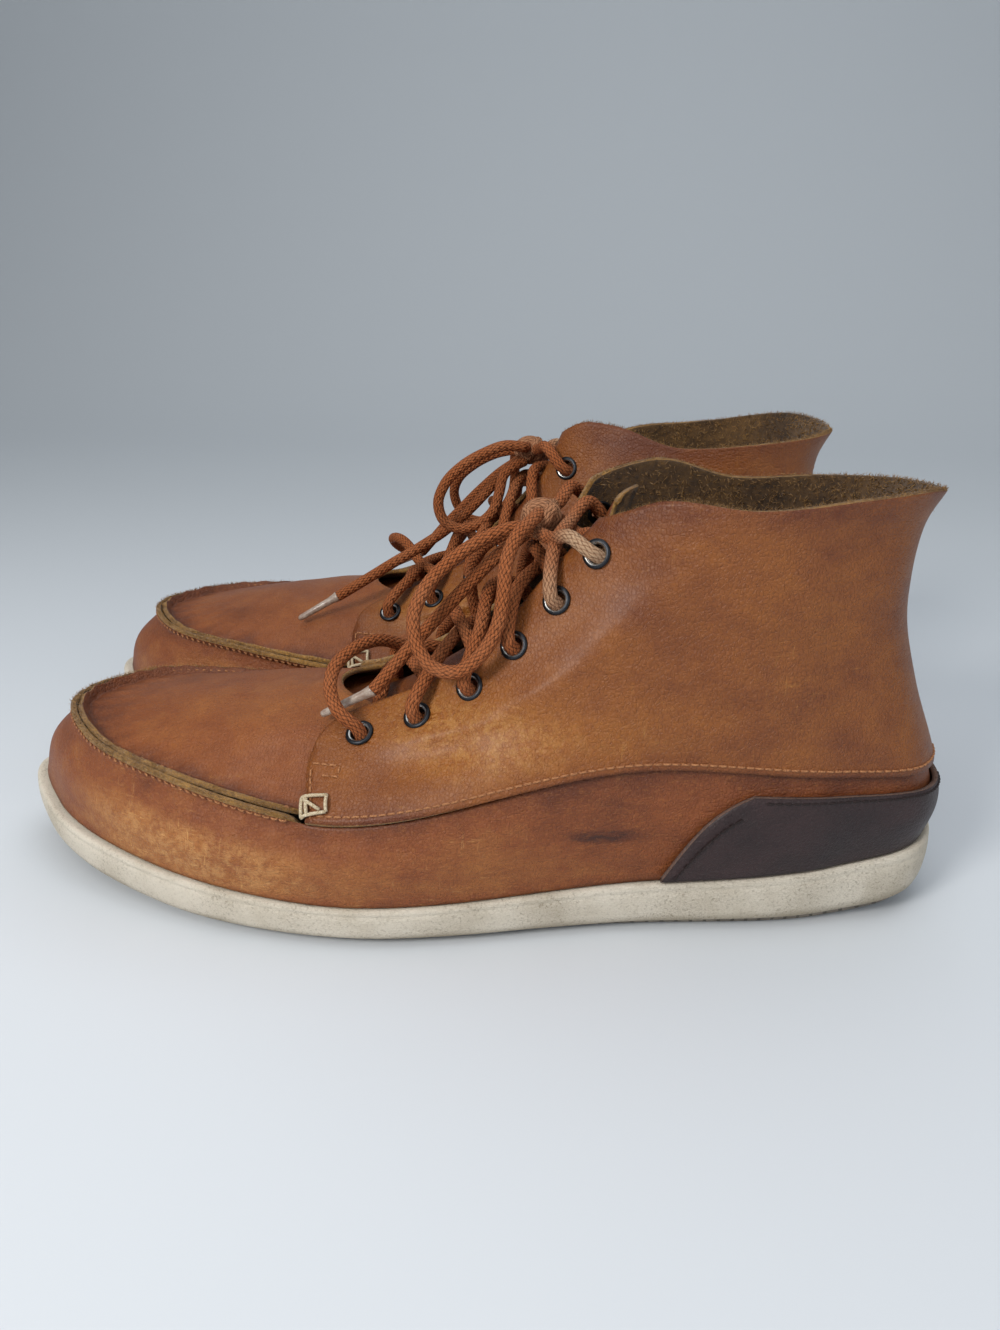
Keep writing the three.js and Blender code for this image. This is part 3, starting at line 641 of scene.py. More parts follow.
@dataclass
class Last:
    """The form that the uppers are drawn over: rings of fourteen stations [s, y, z]."""

    rings: Array = field(default_factory=lambda: np.array(RINGS, float))
    sole: Array = field(default_factory=lambda: np.array(SOLE, float))

    @staticmethod
    def around(points: Array, t: Array) -> Array:
        """Points at stations t on the closed smooth curve through the given ones."""
        i = np.floor(t).astype(int)
        a, b, c, d = (points[(i + k) % len(points)] for k in (-1, 0, 1, 2))
        return hermite(b, c, tangent(a, b, c), tangent(b, c, d), (t - i)[..., None])

    def point(self, t: Array, h: Array) -> Array:
        """Skin points [s, y, z] at stations t and rings h."""
        t, h = np.broadcast_arrays(np.asarray(t, float), np.asarray(h, float))
        columns = np.stack([self.around(points, t) for points in self.rings])
        k = np.clip(np.floor(h).astype(int), 0, COLLAR - 1)

        def column(j: Array) -> Array:
            """Each point's place on ring j."""
            j = np.clip(j, 0, COLLAR)[None, ..., None]
            return np.take_along_axis(columns, np.broadcast_to(j, (1, *t.shape, 3)), 0)[0]

        p0, p1, p2, p3 = (column(k + j) for j in (-1, 0, 1, 2))
        straight = (p2 - p1) / length_of(p2 - p1)
        fold = smooth(np.minimum(t, STATIONS - t), 3.5, 4)
        low = np.where(k == MOC, fold, k == 0)[..., None]
        high = np.where(k + 1 == MOC, fold, k + 1 == COLLAR)[..., None]
        lower = tangent(p0, p1, p2) * (1 - low) + straight * low
        upper = tangent(p1, p2, p3) * (1 - high) + straight * high
        return hermite(p1, p2, lower, upper, (h - k)[..., None])

    @staticmethod
    def to_boot(p: Array) -> Array:
        """From [s, y, z] to the boot's own x, y, z."""
        q = np.array(p, float)
        q[..., 0] = HEEL_X - q[..., 0]
        return q

    def normal(self, t: Array, h: Array) -> Array:
        """Outward normals of the skin."""
        d = 0.02
        t, h = np.broadcast_arrays(np.asarray(t, float), np.asarray(h, float))
        along = self.to_boot(self.point(t + d, h)) - self.to_boot(self.point(t - d, h))
        up = self.to_boot(self.point(t, np.minimum(h + d, COLLAR)))
        up = up - self.to_boot(self.point(t, np.maximum(h - d, 0)))
        across = np.cross(up, along)
        return across / length_of(across)

    def skin(self, t: Array, h: Array, offset: Array | float = 0) -> Array:
        """Points `offset` outside the skin."""
        away = np.broadcast_to(np.asarray(offset, float), np.broadcast(t, h).shape)
        return self.to_boot(self.point(t, h)) + self.normal(t, h) * away[..., None]

    def above_moc(self, t: Array, distance: Array | float) -> Array:
        """The ring number that lies `distance` above the moccasin seam."""
        span = length_of(self.point(t, t * 0 + MOC) - self.point(t, t * 0 + MOC + 1))[..., 0]
        return MOC + distance / span

    def lips(self, t: Array, level: float = MOC) -> tuple[Array, Array, Array]:
        """Points on the moccasin seam, with the directions outwards and across it."""
        seam = self.skin(t, t * 0 + level)
        across = self.skin(t, self.above_moc(t, 2)) - seam
        return seam, self.normal(t, t * 0 + MOC), across / length_of(across)

    def sole_top(self, t: Array) -> Array:
        """Height of the sole's top edge."""
        return self.around(self.rings[0], t)[..., 2] - 0.6

    @staticmethod
    def ground(s: Array) -> Array:
        """Height of the ground face under s: the toe and heel spring."""
        toe = np.maximum(s - 212, 0) / 89
        heel = np.maximum(45 - s, 0) / 46
        return 10.5 * toe * toe + 5.5 * heel * heel

    def sole_ring(self, t: Array, inset: float, rise: Callable[[Array, Array], Array]) -> Array:
        """The sole's outline drawn in by inset, at the heights that rise(t, s) gives."""
        p = self.around(self.sole, t)
        along = self.around(self.sole, t + 0.02) - self.around(self.sole, t - 0.02)
        along = along / length_of(along)
        s = p[..., 0] - along[..., 1] * inset
        y = p[..., 1] + along[..., 0] * inset
        return self.to_boot(np.stack([s, y, rise(t, s)], -1))


LAST = Last()


def swell(x: Array, middle: float, width: float) -> Array:
    """1 at the middle, dying away over the width."""
    return np.exp(-(((x - middle) / width) ** 2))


def ripple(p: Array, scale: float, seed: float) -> Array:
    """Smooth noise from -1 to 1 at points in millimetres, with features of about scale."""
    shift = Vector((seed * 7.31, seed * 3.77, seed * 5.13))
    flat = p.reshape(-1, 3) / scale
    values = [noise.noise(Vector(q) + shift) for q in flat]
    return np.array(values).reshape(p.shape[:-1])


def calm(normals: Array, passes: int = 60) -> Array:
    """A grid of directions, evened out over its neighbours so that a deep offset can't fold."""
    out = np.nan_to_num(normals)
    for _ in range(passes):
        wide = np.pad(out, ((1, 1), (1, 1), (0, 0)), mode="edge")
        out = out + wide[:-2, 1:-1] + wide[2:, 1:-1] + wide[1:-1, :-2] + wide[1:-1, 2:]
        out = out / length_of(out)
    return out


@dataclass(frozen=True)
class Crease:
    """A valley in the leather between two points [s, y, z], with a swell on each side."""

    start: tuple[float, float, float]
    end: tuple[float, float, float]
    width: float
    depth: float

    def at(self, p: Array) -> Array:
        """How far the crease moves points [x, y, z] outwards."""
        a, b = (LAST.to_boot(np.array(q, float)) for q in (self.start, self.end))
        line = b - a
        share = np.clip(((p - a) @ line) / (line @ line), 0, 1)
        away = np.linalg.norm(p - a - share[..., None] * line, axis=-1) / self.width
        fade = smooth(share, 0, 0.25) * smooth(1 - share, 0, 0.25)
        return -self.depth * fade * (1 - 1.1 * away**2) * np.exp(-(away**2))


# ---- Meshes -------------------------------------------------------------------------------
class Hand(Enum):
    """Which foot a boot is for, with its place in the pair."""

    LEFT = ("left", 1.0, 6.45, -55.4)
    RIGHT = ("right", -1.0, -6.45, 55.4)

    @property
    def label(self) -> str:
        """The name that starts each of its nodes."""
        return self.value[0]

    @property
    def mirror(self) -> float:
        """1 for the left boot, -1 for the mirrored one."""
        return self.value[1]

    def world(self, p: Array) -> Array:
        """From a boot's own millimetres to the pair's metres."""
        _, m, dx, dy = self.value
        p = np.asarray(p, float)
        x, y = p[..., 0], p[..., 1] * m
        turn = math.radians(1) * m
        c, s = math.cos(turn), math.sin(turn)
        return np.stack([x * c - y * s + dx, x * s + y * c + dy, p[..., 2]], -1) / 1000


def outward(bm: bmesh.types.BMesh) -> bmesh.types.BMesh:
    """Turn a closed shape's faces outwards."""
    bmesh.ops.recalc_face_normals(bm, faces=bm.faces)
    if bm.calc_volume(signed=True) < 0:
        bmesh.ops.reverse_faces(bm, faces=bm.faces)
    return bm


def distances(points: Array) -> Array:
    """How far each point lies along a line of points."""
    return np.concatenate([[0], np.cumsum(np.linalg.norm(np.diff(points, axis=0), axis=-1))])


def netted(points: Array, across: Array, upward: Array, **painted: Array) -> bmesh.types.BMesh:
    """A grid laid on rows of points.

    Args:
        points: rows by columns by 3, in a boot's own millimetres.
        across: each column's u.
        upward: each row's v.
        **painted: rows by columns of numbers, kept as attributes.

    Returns:
        The bmesh.
    """
    rows, columns = points.shape[:2]
    bm = bmesh.new()
    bmesh.ops.create_grid(bm, x_segments=columns - 1, y_segments=rows - 1, size=0.5)
    uv = bm.loops.layers.uv.new("UVMap")
    layers = {name: bm.verts.layers.float.new(name) for name in painted}
    place = {}
    for vert in bm.verts:
        i = round((vert.co.x + 0.5) * (columns - 1))
        j = round((vert.co.y + 0.5) * (rows - 1))
        place[vert] = (across[i], upward[j])
        vert.co = points[j, i]
        for name, layer in layers.items():
            vert[layer] = painted[name][j, i]
    for face in bm.faces:
        for loop in face.loops:
            loop[uv].uv = place[loop.vert]
    return bm


def woven(points: Array, closed: bool = False, **painted: Array) -> bmesh.types.BMesh:
    """A sheet on rows of points, facing outwards when columns run with t and rows with h.

    Args:
        points: rows by columns by 3, in a boot's own millimetres.
        closed: whether the last column is the first one again.
        **painted: rows by columns of numbers, kept as attributes.

    Returns:
        The bmesh, with its UVs in millimetres.
    """
    step = np.linalg.norm(np.diff(points, axis=1), axis=-1).mean(0)
    rise = np.linalg.norm(np.diff(points, axis=0), axis=-1).mean(1)
    across, upward = (np.concatenate([[0], np.cumsum(size)]) for size in (step, rise))
    bm = netted(points, across, upward, **painted)
    bmesh.ops.reverse_faces(bm, faces=bm.faces)
    if closed:
        bmesh.ops.remove_doubles(bm, verts=bm.verts, dist=0.001)
    return bm


def tube(points: Array, radius: float, sides: int = 14, wear: Array | None = None) -> bmesh.types.BMesh:
    """A closed round cord along points, u once round it and v in millimetres along it."""
    points = np.asarray(points, float)
    heading = np.gradient(points, axis=0)
    heading /= length_of(heading)
    side = np.cross(heading[0], (0, 0, 1.0))
    if np.linalg.norm(side) < 1e-3:
        side = np.array((0, 1.0, 0))
    rows = []
    angles = np.linspace(0, 2 * np.pi, sides + 1)
    for p, d in zip(points, heading, strict=True):
        side = side - d * (side @ d)
        side /= np.linalg.norm(side)
        up = np.cross(d, side)
        rows.append(p + radius * (np.cos(angles)[:, None] * side + np.sin(angles)[:, None] * up))
    worn = np.repeat((np.zeros(len(points)) if wear is None else wear)[:, None], sides + 1, 1)
    bm = netted(np.array(rows), np.arange(sides + 1) / sides, distances(points), wear=worn)
    bmesh.ops.remove_doubles(bm, verts=bm.verts, dist=0.0005)
    bmesh.ops.holes_fill(bm, edges=[e for e in bm.edges if e.is_boundary])
    return outward(bm)


def route(points: Sequence[Sequence[float]] | Array, spacing: float = 1.4) -> Array:
    """The smooth curve through the points, sampled about every `spacing` millimetres."""
    p = np.asarray(points, float)
    padded = np.concatenate([p[:1], p, p[-1:]])
    made = []
    for i in range(len(p) - 1):
        a, b, c, d = padded[i : i + 4]
        count = max(2, round(np.linalg.norm(c - b) / spacing))
        f = (np.arange(count) / count)[:, None]
        made.append(hermite(b[None], c[None], tangent(a, b, c)[None], tangent(b, c, d)[None], f))
    return np.concatenate([*made, p[-1:]])


def template(bm: bmesh.types.BMesh, name: str) -> bpy.types.Mesh:
    """A bmesh's shape as a mesh; the bmesh is freed."""
    mesh = bpy.data.meshes.new(name)
    bm.to_mesh(mesh)
    bm.free()
    return mesh


def join(bm: bmesh.types.BMesh, part: bmesh.types.BMesh) -> None:
    """Add a part to a bmesh and free it."""
    mesh = template(part, "part")
    bm.from_mesh(mesh)
    bpy.data.meshes.remove(mesh)


def shown(name: str, bm: bmesh.types.BMesh, materials: Sequence[bpy.types.Material]) -> bpy.types.Object:
    """A smooth object in the scene with a bmesh's shape and these material slots."""
    mesh = template(bm, name)
    mesh.polygons.foreach_set("use_smooth", [True] * len(mesh.polygons))
    for material in materials:
        mesh.materials.append(material)
    made = bpy.data.objects.new(name, mesh)
    bpy.context.scene.collection.objects.link(made)
    return made


@dataclass
class Maker:
    """Turns a boot's bmeshes into pieces that ride on its body."""

    hand: Hand
    finishes: Finishes

    def name(self, part: str) -> str:
        """The part's name on this boot."""
        return f"{self.hand.label}_{part}"

    def piece(
        self,
        part: str,
        bm: bmesh.types.BMesh,
        materials: Sequence[bpy.types.Material],
        slot: str,
        replaces: Sequence[str] = (),
        bends: bool = False,
    ) -> bpy.types.Object:
        """Place a bmesh in the pair and make it a piece.

        Args:
            part: the piece's name without the boot's.
            bm: its shape in the boot's own millimetres, which is freed.
            materials: its material slots.
            slot: not used.
            replaces: the CAD parts that it stands for, without the boot's name.
            bends: whether it is left off the boot's body, instead of riding on it.

        Returns:
            The new object.
        """
        placed = self.hand.world(np.array([v.co[:] for v in bm.verts]))
        for vert, co in zip(bm.verts, placed, strict=True):
            vert.co = co
        if self.hand is Hand.RIGHT:
            bmesh.ops.reverse_faces(bm, faces=bm.faces)
        made = shown(self.name(part), bm, materials)
        if not bends:
            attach(made, self.name("boot"))
        if replaces:
            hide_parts(*[self.name(node) for node in replaces])
        log.info("%s: %d faces", made.name, len(made.data.polygons))
        return made

    @staticmethod
    def thicken(made: bpy.types.Object, thickness: float = LEATHER) -> None:
        """Give a sheet its thickness on the inside, with a flesh side and a cut edge."""
        wall = made.modifiers.new("thickness", "SOLIDIFY")
        wall.thickness = thickness / 1000
        wall.offset = -1
        wall.use_even_offset = True
        wall.material_offset = 1
        wall.material_offset_rim = 2

    @staticmethod
    def settle(made: bpy.types.Object) -> None:
        """Apply the piece's modifiers."""
        graph = bpy.context.evaluated_depsgraph_get()
        graph.update()
        mesh = bpy.data.meshes.new_from_object(made.evaluated_get(graph))
        made.modifiers.clear()
        old, made.data = made.data, mesh
        bpy.data.meshes.remove(old)


def spun(profile: Sequence[tuple[float, float, float]], steps: int) -> bpy.types.Mesh:
    """A profile of [radius, height, wear] turned once about z."""
    bm = bmesh.new()
    wear = bm.verts.layers.float.new("wear")
    verts = [bm.verts.new((r, 0, z)) for r, z, _ in profile]
    for vert, (_, _, worn) in zip(verts, profile, strict=True):
        vert[wear] = worn
    chain = [bm.edges.new(pair) for pair in zip(verts, verts[1:])]
    turn = {"cent": (0, 0, 0), "axis": (0, 0, 1), "angle": 2 * math.pi}
    bmesh.ops.spin(bm, geom=verts + chain, steps=steps, use_merge=True, **turn)
    bmesh.ops.remove_doubles(bm, verts=bm.verts, dist=0.0005)
    return template(outward(bm), "spun")


def stamp(
    bm: bmesh.types.BMesh,
    mesh: bpy.types.Mesh,
    at: Array,
    ahead: Array,
    up: Array,
    scale: Sequence[float] = (1, 1, 1),
) -> None:
    """Add a copy of a small mesh: its x ahead, its z up, scaled along its own axes."""
    first = len(bm.verts)
    bm.from_mesh(mesh)
    bm.verts.ensure_lookup_table()
    up = up / np.linalg.norm(up)
    ahead = ahead - up * (ahead @ up)
    ahead = ahead / max(np.linalg.norm(ahead), 1e-6)
    side = np.cross(up, ahead)
    for vert in bm.verts[first:]:
        x, y, z = (c * k for c, k in zip(vert.co, scale, strict=True))
        vert.co = at + ahead * x + side * y + up * z


@dataclass
class Stitching:
    """Rows of thread along lines on the leather."""

    length: float = 2.15
    gap: float = 0.55
    radius: float = 0.36

    def stitch(self) -> bpy.types.Mesh:
        """One stitch a unit long, whose ends dip into the leather."""
        x = np.linspace(-0.5, 0.5, 7)
        dip = -(np.abs(x * 2) ** 3) * 0.42
        points = np.stack([x * self.length, x * 0, dip + 0.1], -1)
        return template(tube(points, self.radius, 6), "stitch")

    def row(self, bm: bmesh.types.BMesh, line: Array, up: Array, seed: int = 0) -> None:
        """Lay stitches along a line of points with the outward directions `up`."""
        mesh = self.stitch()
        run = distances(line)
        pitch = self.length + self.gap
        dice = random.Random(seed)
        for k in range(int(run[-1] / pitch)):
            middle = (k + 0.5) * pitch
            ends = [np.array([np.interp(middle + d, run, line[:, a]) for a in range(3)]) for d in (-1, 0, 1)]
            away = np.array([np.interp(middle, run, up[:, a]) for a in range(3)])
            lean = np.array([dice.uniform(-0.06, 0.06) for _ in range(3)])
            size = np.array([dice.uniform(0.94, 1.04), 1, dice.uniform(0.9, 1.1)])
            stamp(bm, mesh, ends[1], ends[2] - ends[0] + lean, away, size)
        bpy.data.meshes.remove(mesh)


@dataclass
class Fuzz:
    """Loose fibres that stand up from raw edges and worn lace."""

    radius: float = 0.09
    shortest: float = 0.4
    longest: float = 1.5

    def grow(
        self, bm: bmesh.types.BMesh, points: Array, up: Array, count: int, seed: int, spread: float = 0.9
    ) -> None:
        """Grow fibres at random points of a set, leaning out of the direction `up`."""
        cone = bmesh.new()
        ends = {"radius1": self.radius, "radius2": FIBRE_TIP, "depth": 1}
        bmesh.ops.create_cone(cone, cap_ends=True, segments=3, **ends)
        bmesh.ops.translate(cone, verts=cone.verts, vec=(0, 0, 0.4))
        mesh = template(cone, "fibre")
        dice = np.random.default_rng(seed)
        for _ in range(count):
            k = int(dice.integers(len(points)))
            lean = up[k] + dice.normal(0, spread, 3)
            lean = lean / np.linalg.norm(lean)
            long = dice.uniform(self.shortest, self.longest)
            start = points[k] + dice.normal(0, 0.25, 3)
            stamp(bm, mesh, start, np.array((1.0, 0.2, 0.1)), lean, (1, 1, long))
        bpy.data.meshes.remove(mesh)


# ---- Sole ---------------------------------------------------------------------------------
@dataclass
class Sole:
    """The thin tread, the cupped midsole and the footbed."""

    make: Maker
    columns: int = 200
    tread: float = 3
    sides: Sequence[tuple[float, float]] = (
        (5.2, 0.16), (3.6, 0.165), (2.2, 0.2), (0.9, 0.32), (0.25, 0.5), (0, 0.7), (0.05, 0.8),
        (0.3, 0.86), (0.15, 0.9), (0.35, 0.95), (0.9, 0.99), (1.8, 1.0), (3.2, 0.99),
    )

    def stations(self) -> Array:
        """Stations all the way round."""
        return np.linspace(0, STATIONS, self.columns + 1)

    def stacked(
        self, shape: Sequence[tuple[float, float]], base: Callable[[Array, Array], Array]
    ) -> bmesh.types.BMesh:
        """A closed solid through rings of an inset and a height over base(t, s)."""
        t = self.stations()
        rows = [LAST.sole_ring(t, inset, lambda t, s, up=up: base(t, s) + up) for inset, up in shape]
        return self.close(woven(np.array(rows), True))

    @staticmethod
    def close(bm: bmesh.types.BMesh) -> bmesh.types.BMesh:
        """Fill both open ends of a ring of walls and turn its faces out."""
        bmesh.ops.holes_fill(bm, edges=[e for e in bm.edges if e.is_boundary])
        bmesh.ops.triangulate(bm, faces=[f for f in bm.faces if len(f.verts) > 4])
        return outward(bm)

    def outsole(self) -> bpy.types.Object:
        """The tread."""
        shape = ((30, 0), (20, 0), (12, 0), (7.4, 0), (6.4, 0.1), (5.7, 0.5), (5.3, 1.5), (5.2, 3), (12, 3))
        bm = self.stacked(shape, lambda t, s: LAST.ground(s))
        return self.make.piece("outsole_tread", bm, [self.make.finishes.tread], "outsole_rubber", ["outsole"])

    def midsole(self) -> bpy.types.Object:
        """The cupped, off-white midsole."""
        t = self.stations()
        curve = route([(inset, share * 20, 0) for inset, share in self.sides], 0.9)[:, :2]
        rows, tones = [], []
        for inset, level in curve:
            share = level / 20

            def rise(t: Array, s: Array, share: float = share) -> Array:
                """Height of this ring."""
                low = LAST.ground(s)
                return np.maximum(low + (LAST.sole_top(t) - low) * share, low + self.tread + 0.3)

            ringed = LAST.sole_ring(t, inset, rise)
            ringed = ringed + ripple(ringed, 22, 3)[:, None] * np.array((0.12, 0.12, 0.1))
            rows.append(ringed)
            # The lower rows of the side are toned darker.
            low = float(smooth(share, 0.45, 0.12))
            tones.append(-low * 0.8 + 0.5 * ripple(ringed, 18, 5) - 0.2)
        for grow, share in ((9, 0.985), (18, 0.98), (27, 0.98)):
            rows.append(LAST.sole_ring(t, grow, lambda t, s, share=share: LAST.sole_top(t) * share))
            tones.append(t * 0)
        for inset in (12, 22):
            under = LAST.sole_ring(t, inset, lambda t, s: LAST.ground(s) + self.tread + 0.3)
            rows.insert(0, under)
            tones.insert(0, t * 0)
        bm = self.close(woven(np.array(rows), True, tone=np.array(tones)))
        return self.make.piece("midsole_foam", bm, [self.make.finishes.foam], "midsole_foam", ["midsole"])

    def footbed(self) -> bpy.types.Object:
        """The suede-topped footbed."""
        shape = (
            (24, 2.6), (8.9, 2.6), (8.6, 3.2), (8.6, 6), (9.1, 6.5), (10, 6.6), (16, 6.4), (24, 6.2),
            (30, 6.1),
        )
        bm = self.stacked(shape, lambda t, s: LAST.sole_top(t))
        return self.make.piece("footbed_cover", bm, [self.make.finishes.suede], "footbed_suede", ["footbed"])


# ---- Uppers -------------------------------------------------------------------------------
@dataclass(frozen=True)
class Eyelet:
    """An eyelet's place: its station and ring, and the rings level with it at edge and centre."""

    t: float
    h: float
    edge: float
    centre: float


EYELETS = (
    Eyelet(3.98, 3.53, 4.19, 4.43),
    Eyelet(4.08, 4.16, 4.56, 4.77),
    Eyelet(4.3, 4.62, 4.93, 5.25),
    Eyelet(4.52, 5.1, 5.48, 5.8),
    Eyelet(4.58, 5.74, 6.04, 6.42),
    Eyelet(4.54, 6.42, 6.9, 7),
)


def throat_edge(h: Array | float) -> Array:
    """The station of a quarter's front edge at ring h."""
    return 4 + 0.8 * smooth(h, 2.9, 4.1) + 0.2 * smooth(h, 4.5, 6)


@dataclass
class Upper:
    """The leather pieces over the last, with their seams."""

    make: Maker
    patch_face: float = 2.4
    creases: Sequence[Crease] = (
        Crease((182, -50, 30), (172, -47, 44), 6, 0.9),
        Crease((196, -52, 28), (192, -49, 39), 5, 0.8),
        Crease((210, -50, 27), (206, -46, 40), 5.5, 0.6),
        Crease((165, -51, 30), (150, -45, 45), 7, 0.6),
        Crease((176, -42, 52), (140, -38, 62), 7, 0.9),
        Crease((158, -38, 66), (120, -37, 74), 9, 0.8),
        Crease((96, -34, 78), (60, -31, 74), 11, 0.9),
        Crease((88, -32, 98), (48, -27, 88), 10, 0.7),
        Crease((205, -40, 48), (200, 20, 62), 6, 1.5),
        Crease((222, -22, 58), (216, 18, 61), 8, 0.6),
        Crease((182, 47, 30), (172, 45, 44), 6, 0.8),
        Crease((176, 40, 52), (140, 38, 62), 7, 0.8),
        Crease((120, 37, 60), (84, 35, 72), 9, 0.8),
        Crease((96, 34, 84), (60, 31, 92), 10, 0.8),
    )

    def leather(
        self,
        part: str,
        bm: bmesh.types.BMesh,
        face: bpy.types.Material,
        slot: str = "upper_leather",
        thickness: float = LEATHER,
        edge: bpy.types.Material | None = None,
        bends: bool = False,
    ) -> bpy.types.Object:
        """Make a sheet a piece of leather, with a flesh side and a cut edge.

        Args:
            part: the CAD part that it stands for.
            bm: its outer face.
            face: the outer face's material.
            slot: handed on to the piece, which doesn't use it.
            thickness: in millimetres.
            edge: the cut edge's material, or None for the uppers' own.
            bends: whether it is left off the boot's body.

        Returns:
            The finished piece.
        """
        f = self.make.finishes
        faces = [face, f.suede, edge or f.edge]
        made = self.make.piece(f"{part}_leather", bm, faces, slot, [part], bends)
        self.make.thicken(made, thickness)
        self.make.settle(made)
        return made

    def bend(self, points: Array, normals: Array, seed: float, still: Array | float = 0) -> Array:
        """Move points by the leather's own unevenness and its creases."""
        own = self.make.hand.mirror * 2
        move = 0.42 * ripple(points, 31, seed + own) + 0.16 * ripple(points, 11, seed + 2 + own)
        for crease in self.creases:
            move = move + crease.at(points)
        return points + normals * (move * (1 - still))[..., None]

    def side_wall(self) -> bpy.types.Object:
        """The strip of leather round the boot, whose edge stands up along the moccasin seam."""
        t = np.linspace(0, STATIONS, 281)
        front = np.minimum(t, STATIONS - t)
        lip = smooth(front, 3.98, 4.3)
        levels = np.concatenate([np.linspace(0, 0.985, 24), np.full(8, 0.985)])
        rise = np.concatenate([np.zeros(24), np.linspace(0.12, 1, 8)])
        grid_t = np.broadcast_to(t, (len(levels), len(t)))
        grid_h = np.broadcast_to(levels[:, None] * MOC, grid_t.shape)
        points, normals = LAST.skin(grid_t, grid_h), LAST.normal(grid_t, grid_h)
        points = self.bend(points, normals, 1, smooth(grid_h, 0.6, 0.05) + smooth(grid_h, 1.6, 1.95))
        seam, out, across = LAST.lips(t, MOC - 0.03)
        height = 3.1 + 0.35 * ripple(seam, 9, 4) + 0.3 * ripple(seam, 3.2, 5)
        tuck = LAST.skin(t, MOC + 0.27 * (1 - smooth(front, 3, 3.5)), -0.5)
        for j, w in enumerate(rise):
            if w > 0:
                stand = seam + out * (height * w)[:, None] + across * 0.35 * w
                under = seam + (tuck - seam) * w
                points[j] = under + (stand - under) * lip[:, None]
        s = HEEL_X - points[..., 0]
        scuffed = 0.9 * swell(s, 232, 50) * smooth(grid_h, 1.9, 0.9)
        mark = -2.2 * swell(s, 103, 7.5) * swell(points[..., 2], 36, 1.5)
        # Painted shade: the tone is lowered along the bottom edge, in the midsole's groove, and along the top
        # of the rear, where it runs under the quarter; mark is a real dark scuff.
        edge = -0.35 * smooth(grid_h, 0.35, 0.0) - 0.25 * smooth(front, 4.4, 4)[None] * smooth(grid_h, 1.5, 2)
        tone = scuffed + mark * (points[..., 1] < 0) + edge + 0.35 * ripple(points, 40, 9) - 0.1
        bm = woven(points, True, tone=tone)
        return self.leather("side_wall", bm, self.make.finishes.wall, "wall_leather", 2.0)

    def apron(self) -> bpy.types.Object:
        """The panel over the toes, whose edge stands up inside the side wall's."""
        t = np.linspace(3.93, STATIONS - 3.93, 181)
        front = np.minimum(t, STATIONS - t)
        lip = smooth(front, 3.98, 4.3)
        rear = 3.2 + 0.95 * smooth(front, 3.95, 4.85)
        start = LAST.above_moc(t, 4.3)
        v = np.concatenate([np.zeros(9), np.linspace(0, 1, 44)[1:] ** 1.25])
        grid_t = np.broadcast_to(t, (len(v), len(t)))
        grid_h = start + (rear - start) * v[:, None]
        points, normals = LAST.skin(grid_t, grid_h), LAST.normal(grid_t, grid_h)
        pucker = 0.25 * np.sin(t * 23) * np.exp(-((v[:, None] * 6) ** 2))
        points = self.bend(points, normals, 6, smooth(v, 0.08, 0)[:, None]) + normals * pucker[..., None]
        seam, out, across = LAST.lips(t)
        height = (3.3 + 0.35 * ripple(seam, 8, 14) + 0.3 * ripple(seam, 3.1, 15)) * lip
        for j in range(9):
            w = 1 - j / 9
            points[j] = points[9] + out * (height * w)[:, None] + across * (-0.55 * w)
        s = HEEL_X - points[..., 0]
        # Painted shade: the tone is lowered on the standing lip and on the apron's foot beside it, in the
        # moccasin seam's groove.
        tone = 0.25 * swell(points[..., 1], 0, 26) - 0.55 * smooth(v, 0.14, 0.0)[:, None]
        tone = tone + 0.3 * ripple(points, 30, 12) + 0.35 * smooth(s, 200, 178) - 0.15
        return self.leather("apron", woven(points, tone=tone), self.make.finishes.apron)

    def quarter(self, side: Side) -> bpy.types.Object:
        """One side panel, from the heel seam to the throat, with its eyelet holes."""
        share = np.linspace(0, 1, 121)
        if side is Side.MEDIAL:
            share = share[::-1]
        h = np.linspace(MOC, COLLAR, 81)
        grid_h = np.broadcast_to(h[:, None], (len(h), len(share)))
        across = NEAR_HEEL + (throat_edge(h)[:, None] - NEAR_HEEL) * share
        points = self.on_quarter(side, across, grid_h)
        s, z = HEEL_X - points[..., 0], points[..., 2]
        glow = 0.55 * swell(s, 150, 34) * swell(z, 62, 12) + 0.4 * swell(s, 118, 50) * swell(z, 66, 9)
        # Painted shade: the tone is lowered along the lower edge, where the quarter lies over the side wall,
        # and along the throat edge; it also darkens towards the collar.
        rim = -0.4 * smooth(grid_h, 2.12, 2.0) - 0.25 * smooth(share, 0.985, 1.0)
        collar = -0.3 * smooth(grid_h, 6.2, 7)
        tone = glow + rim + collar + 0.3 * ripple(points, 34, 17) - 0.05
        made = self.leather(f"quarter_{side.value}", woven(points, tone=tone), self.make.finishes.quarter)
        self.punch(made, side)
        return made

    def on_quarter(self, side: Side, across: Array, h: Array, lift: float = 0) -> Array:
        """Points `lift` above a quarter's worn face, `across` being the station from its own side."""
        t = side.station(across)
        points, normals = LAST.skin(t, h, OVERLAY), LAST.normal(t, h)
        still = np.maximum(smooth(across, 0.5, 0.1), smooth(h, 2.4, 2.05))
        points = self.bend(points, normals, 20 if side is Side.LATERAL else 33, still) + normals * lift
        if self.make.hand is Hand.RIGHT:
            points[..., 2] += self.slump(HEEL_X - points[..., 0], side) * smooth(h, 5.3, 7)
        return points

    @staticmethod
    def slump(s: Array, side: Side) -> Array:
        """How much higher or lower the right boot's worn collar stands than the left's."""
        if side is Side.MEDIAL:
            return 3.2 * swell(s, 103, 9) - 1.2 * swell(s, 76, 12)
        return -2.2 * smooth(s, 20, 50) - 4.5 * swell(s, 92, 16)

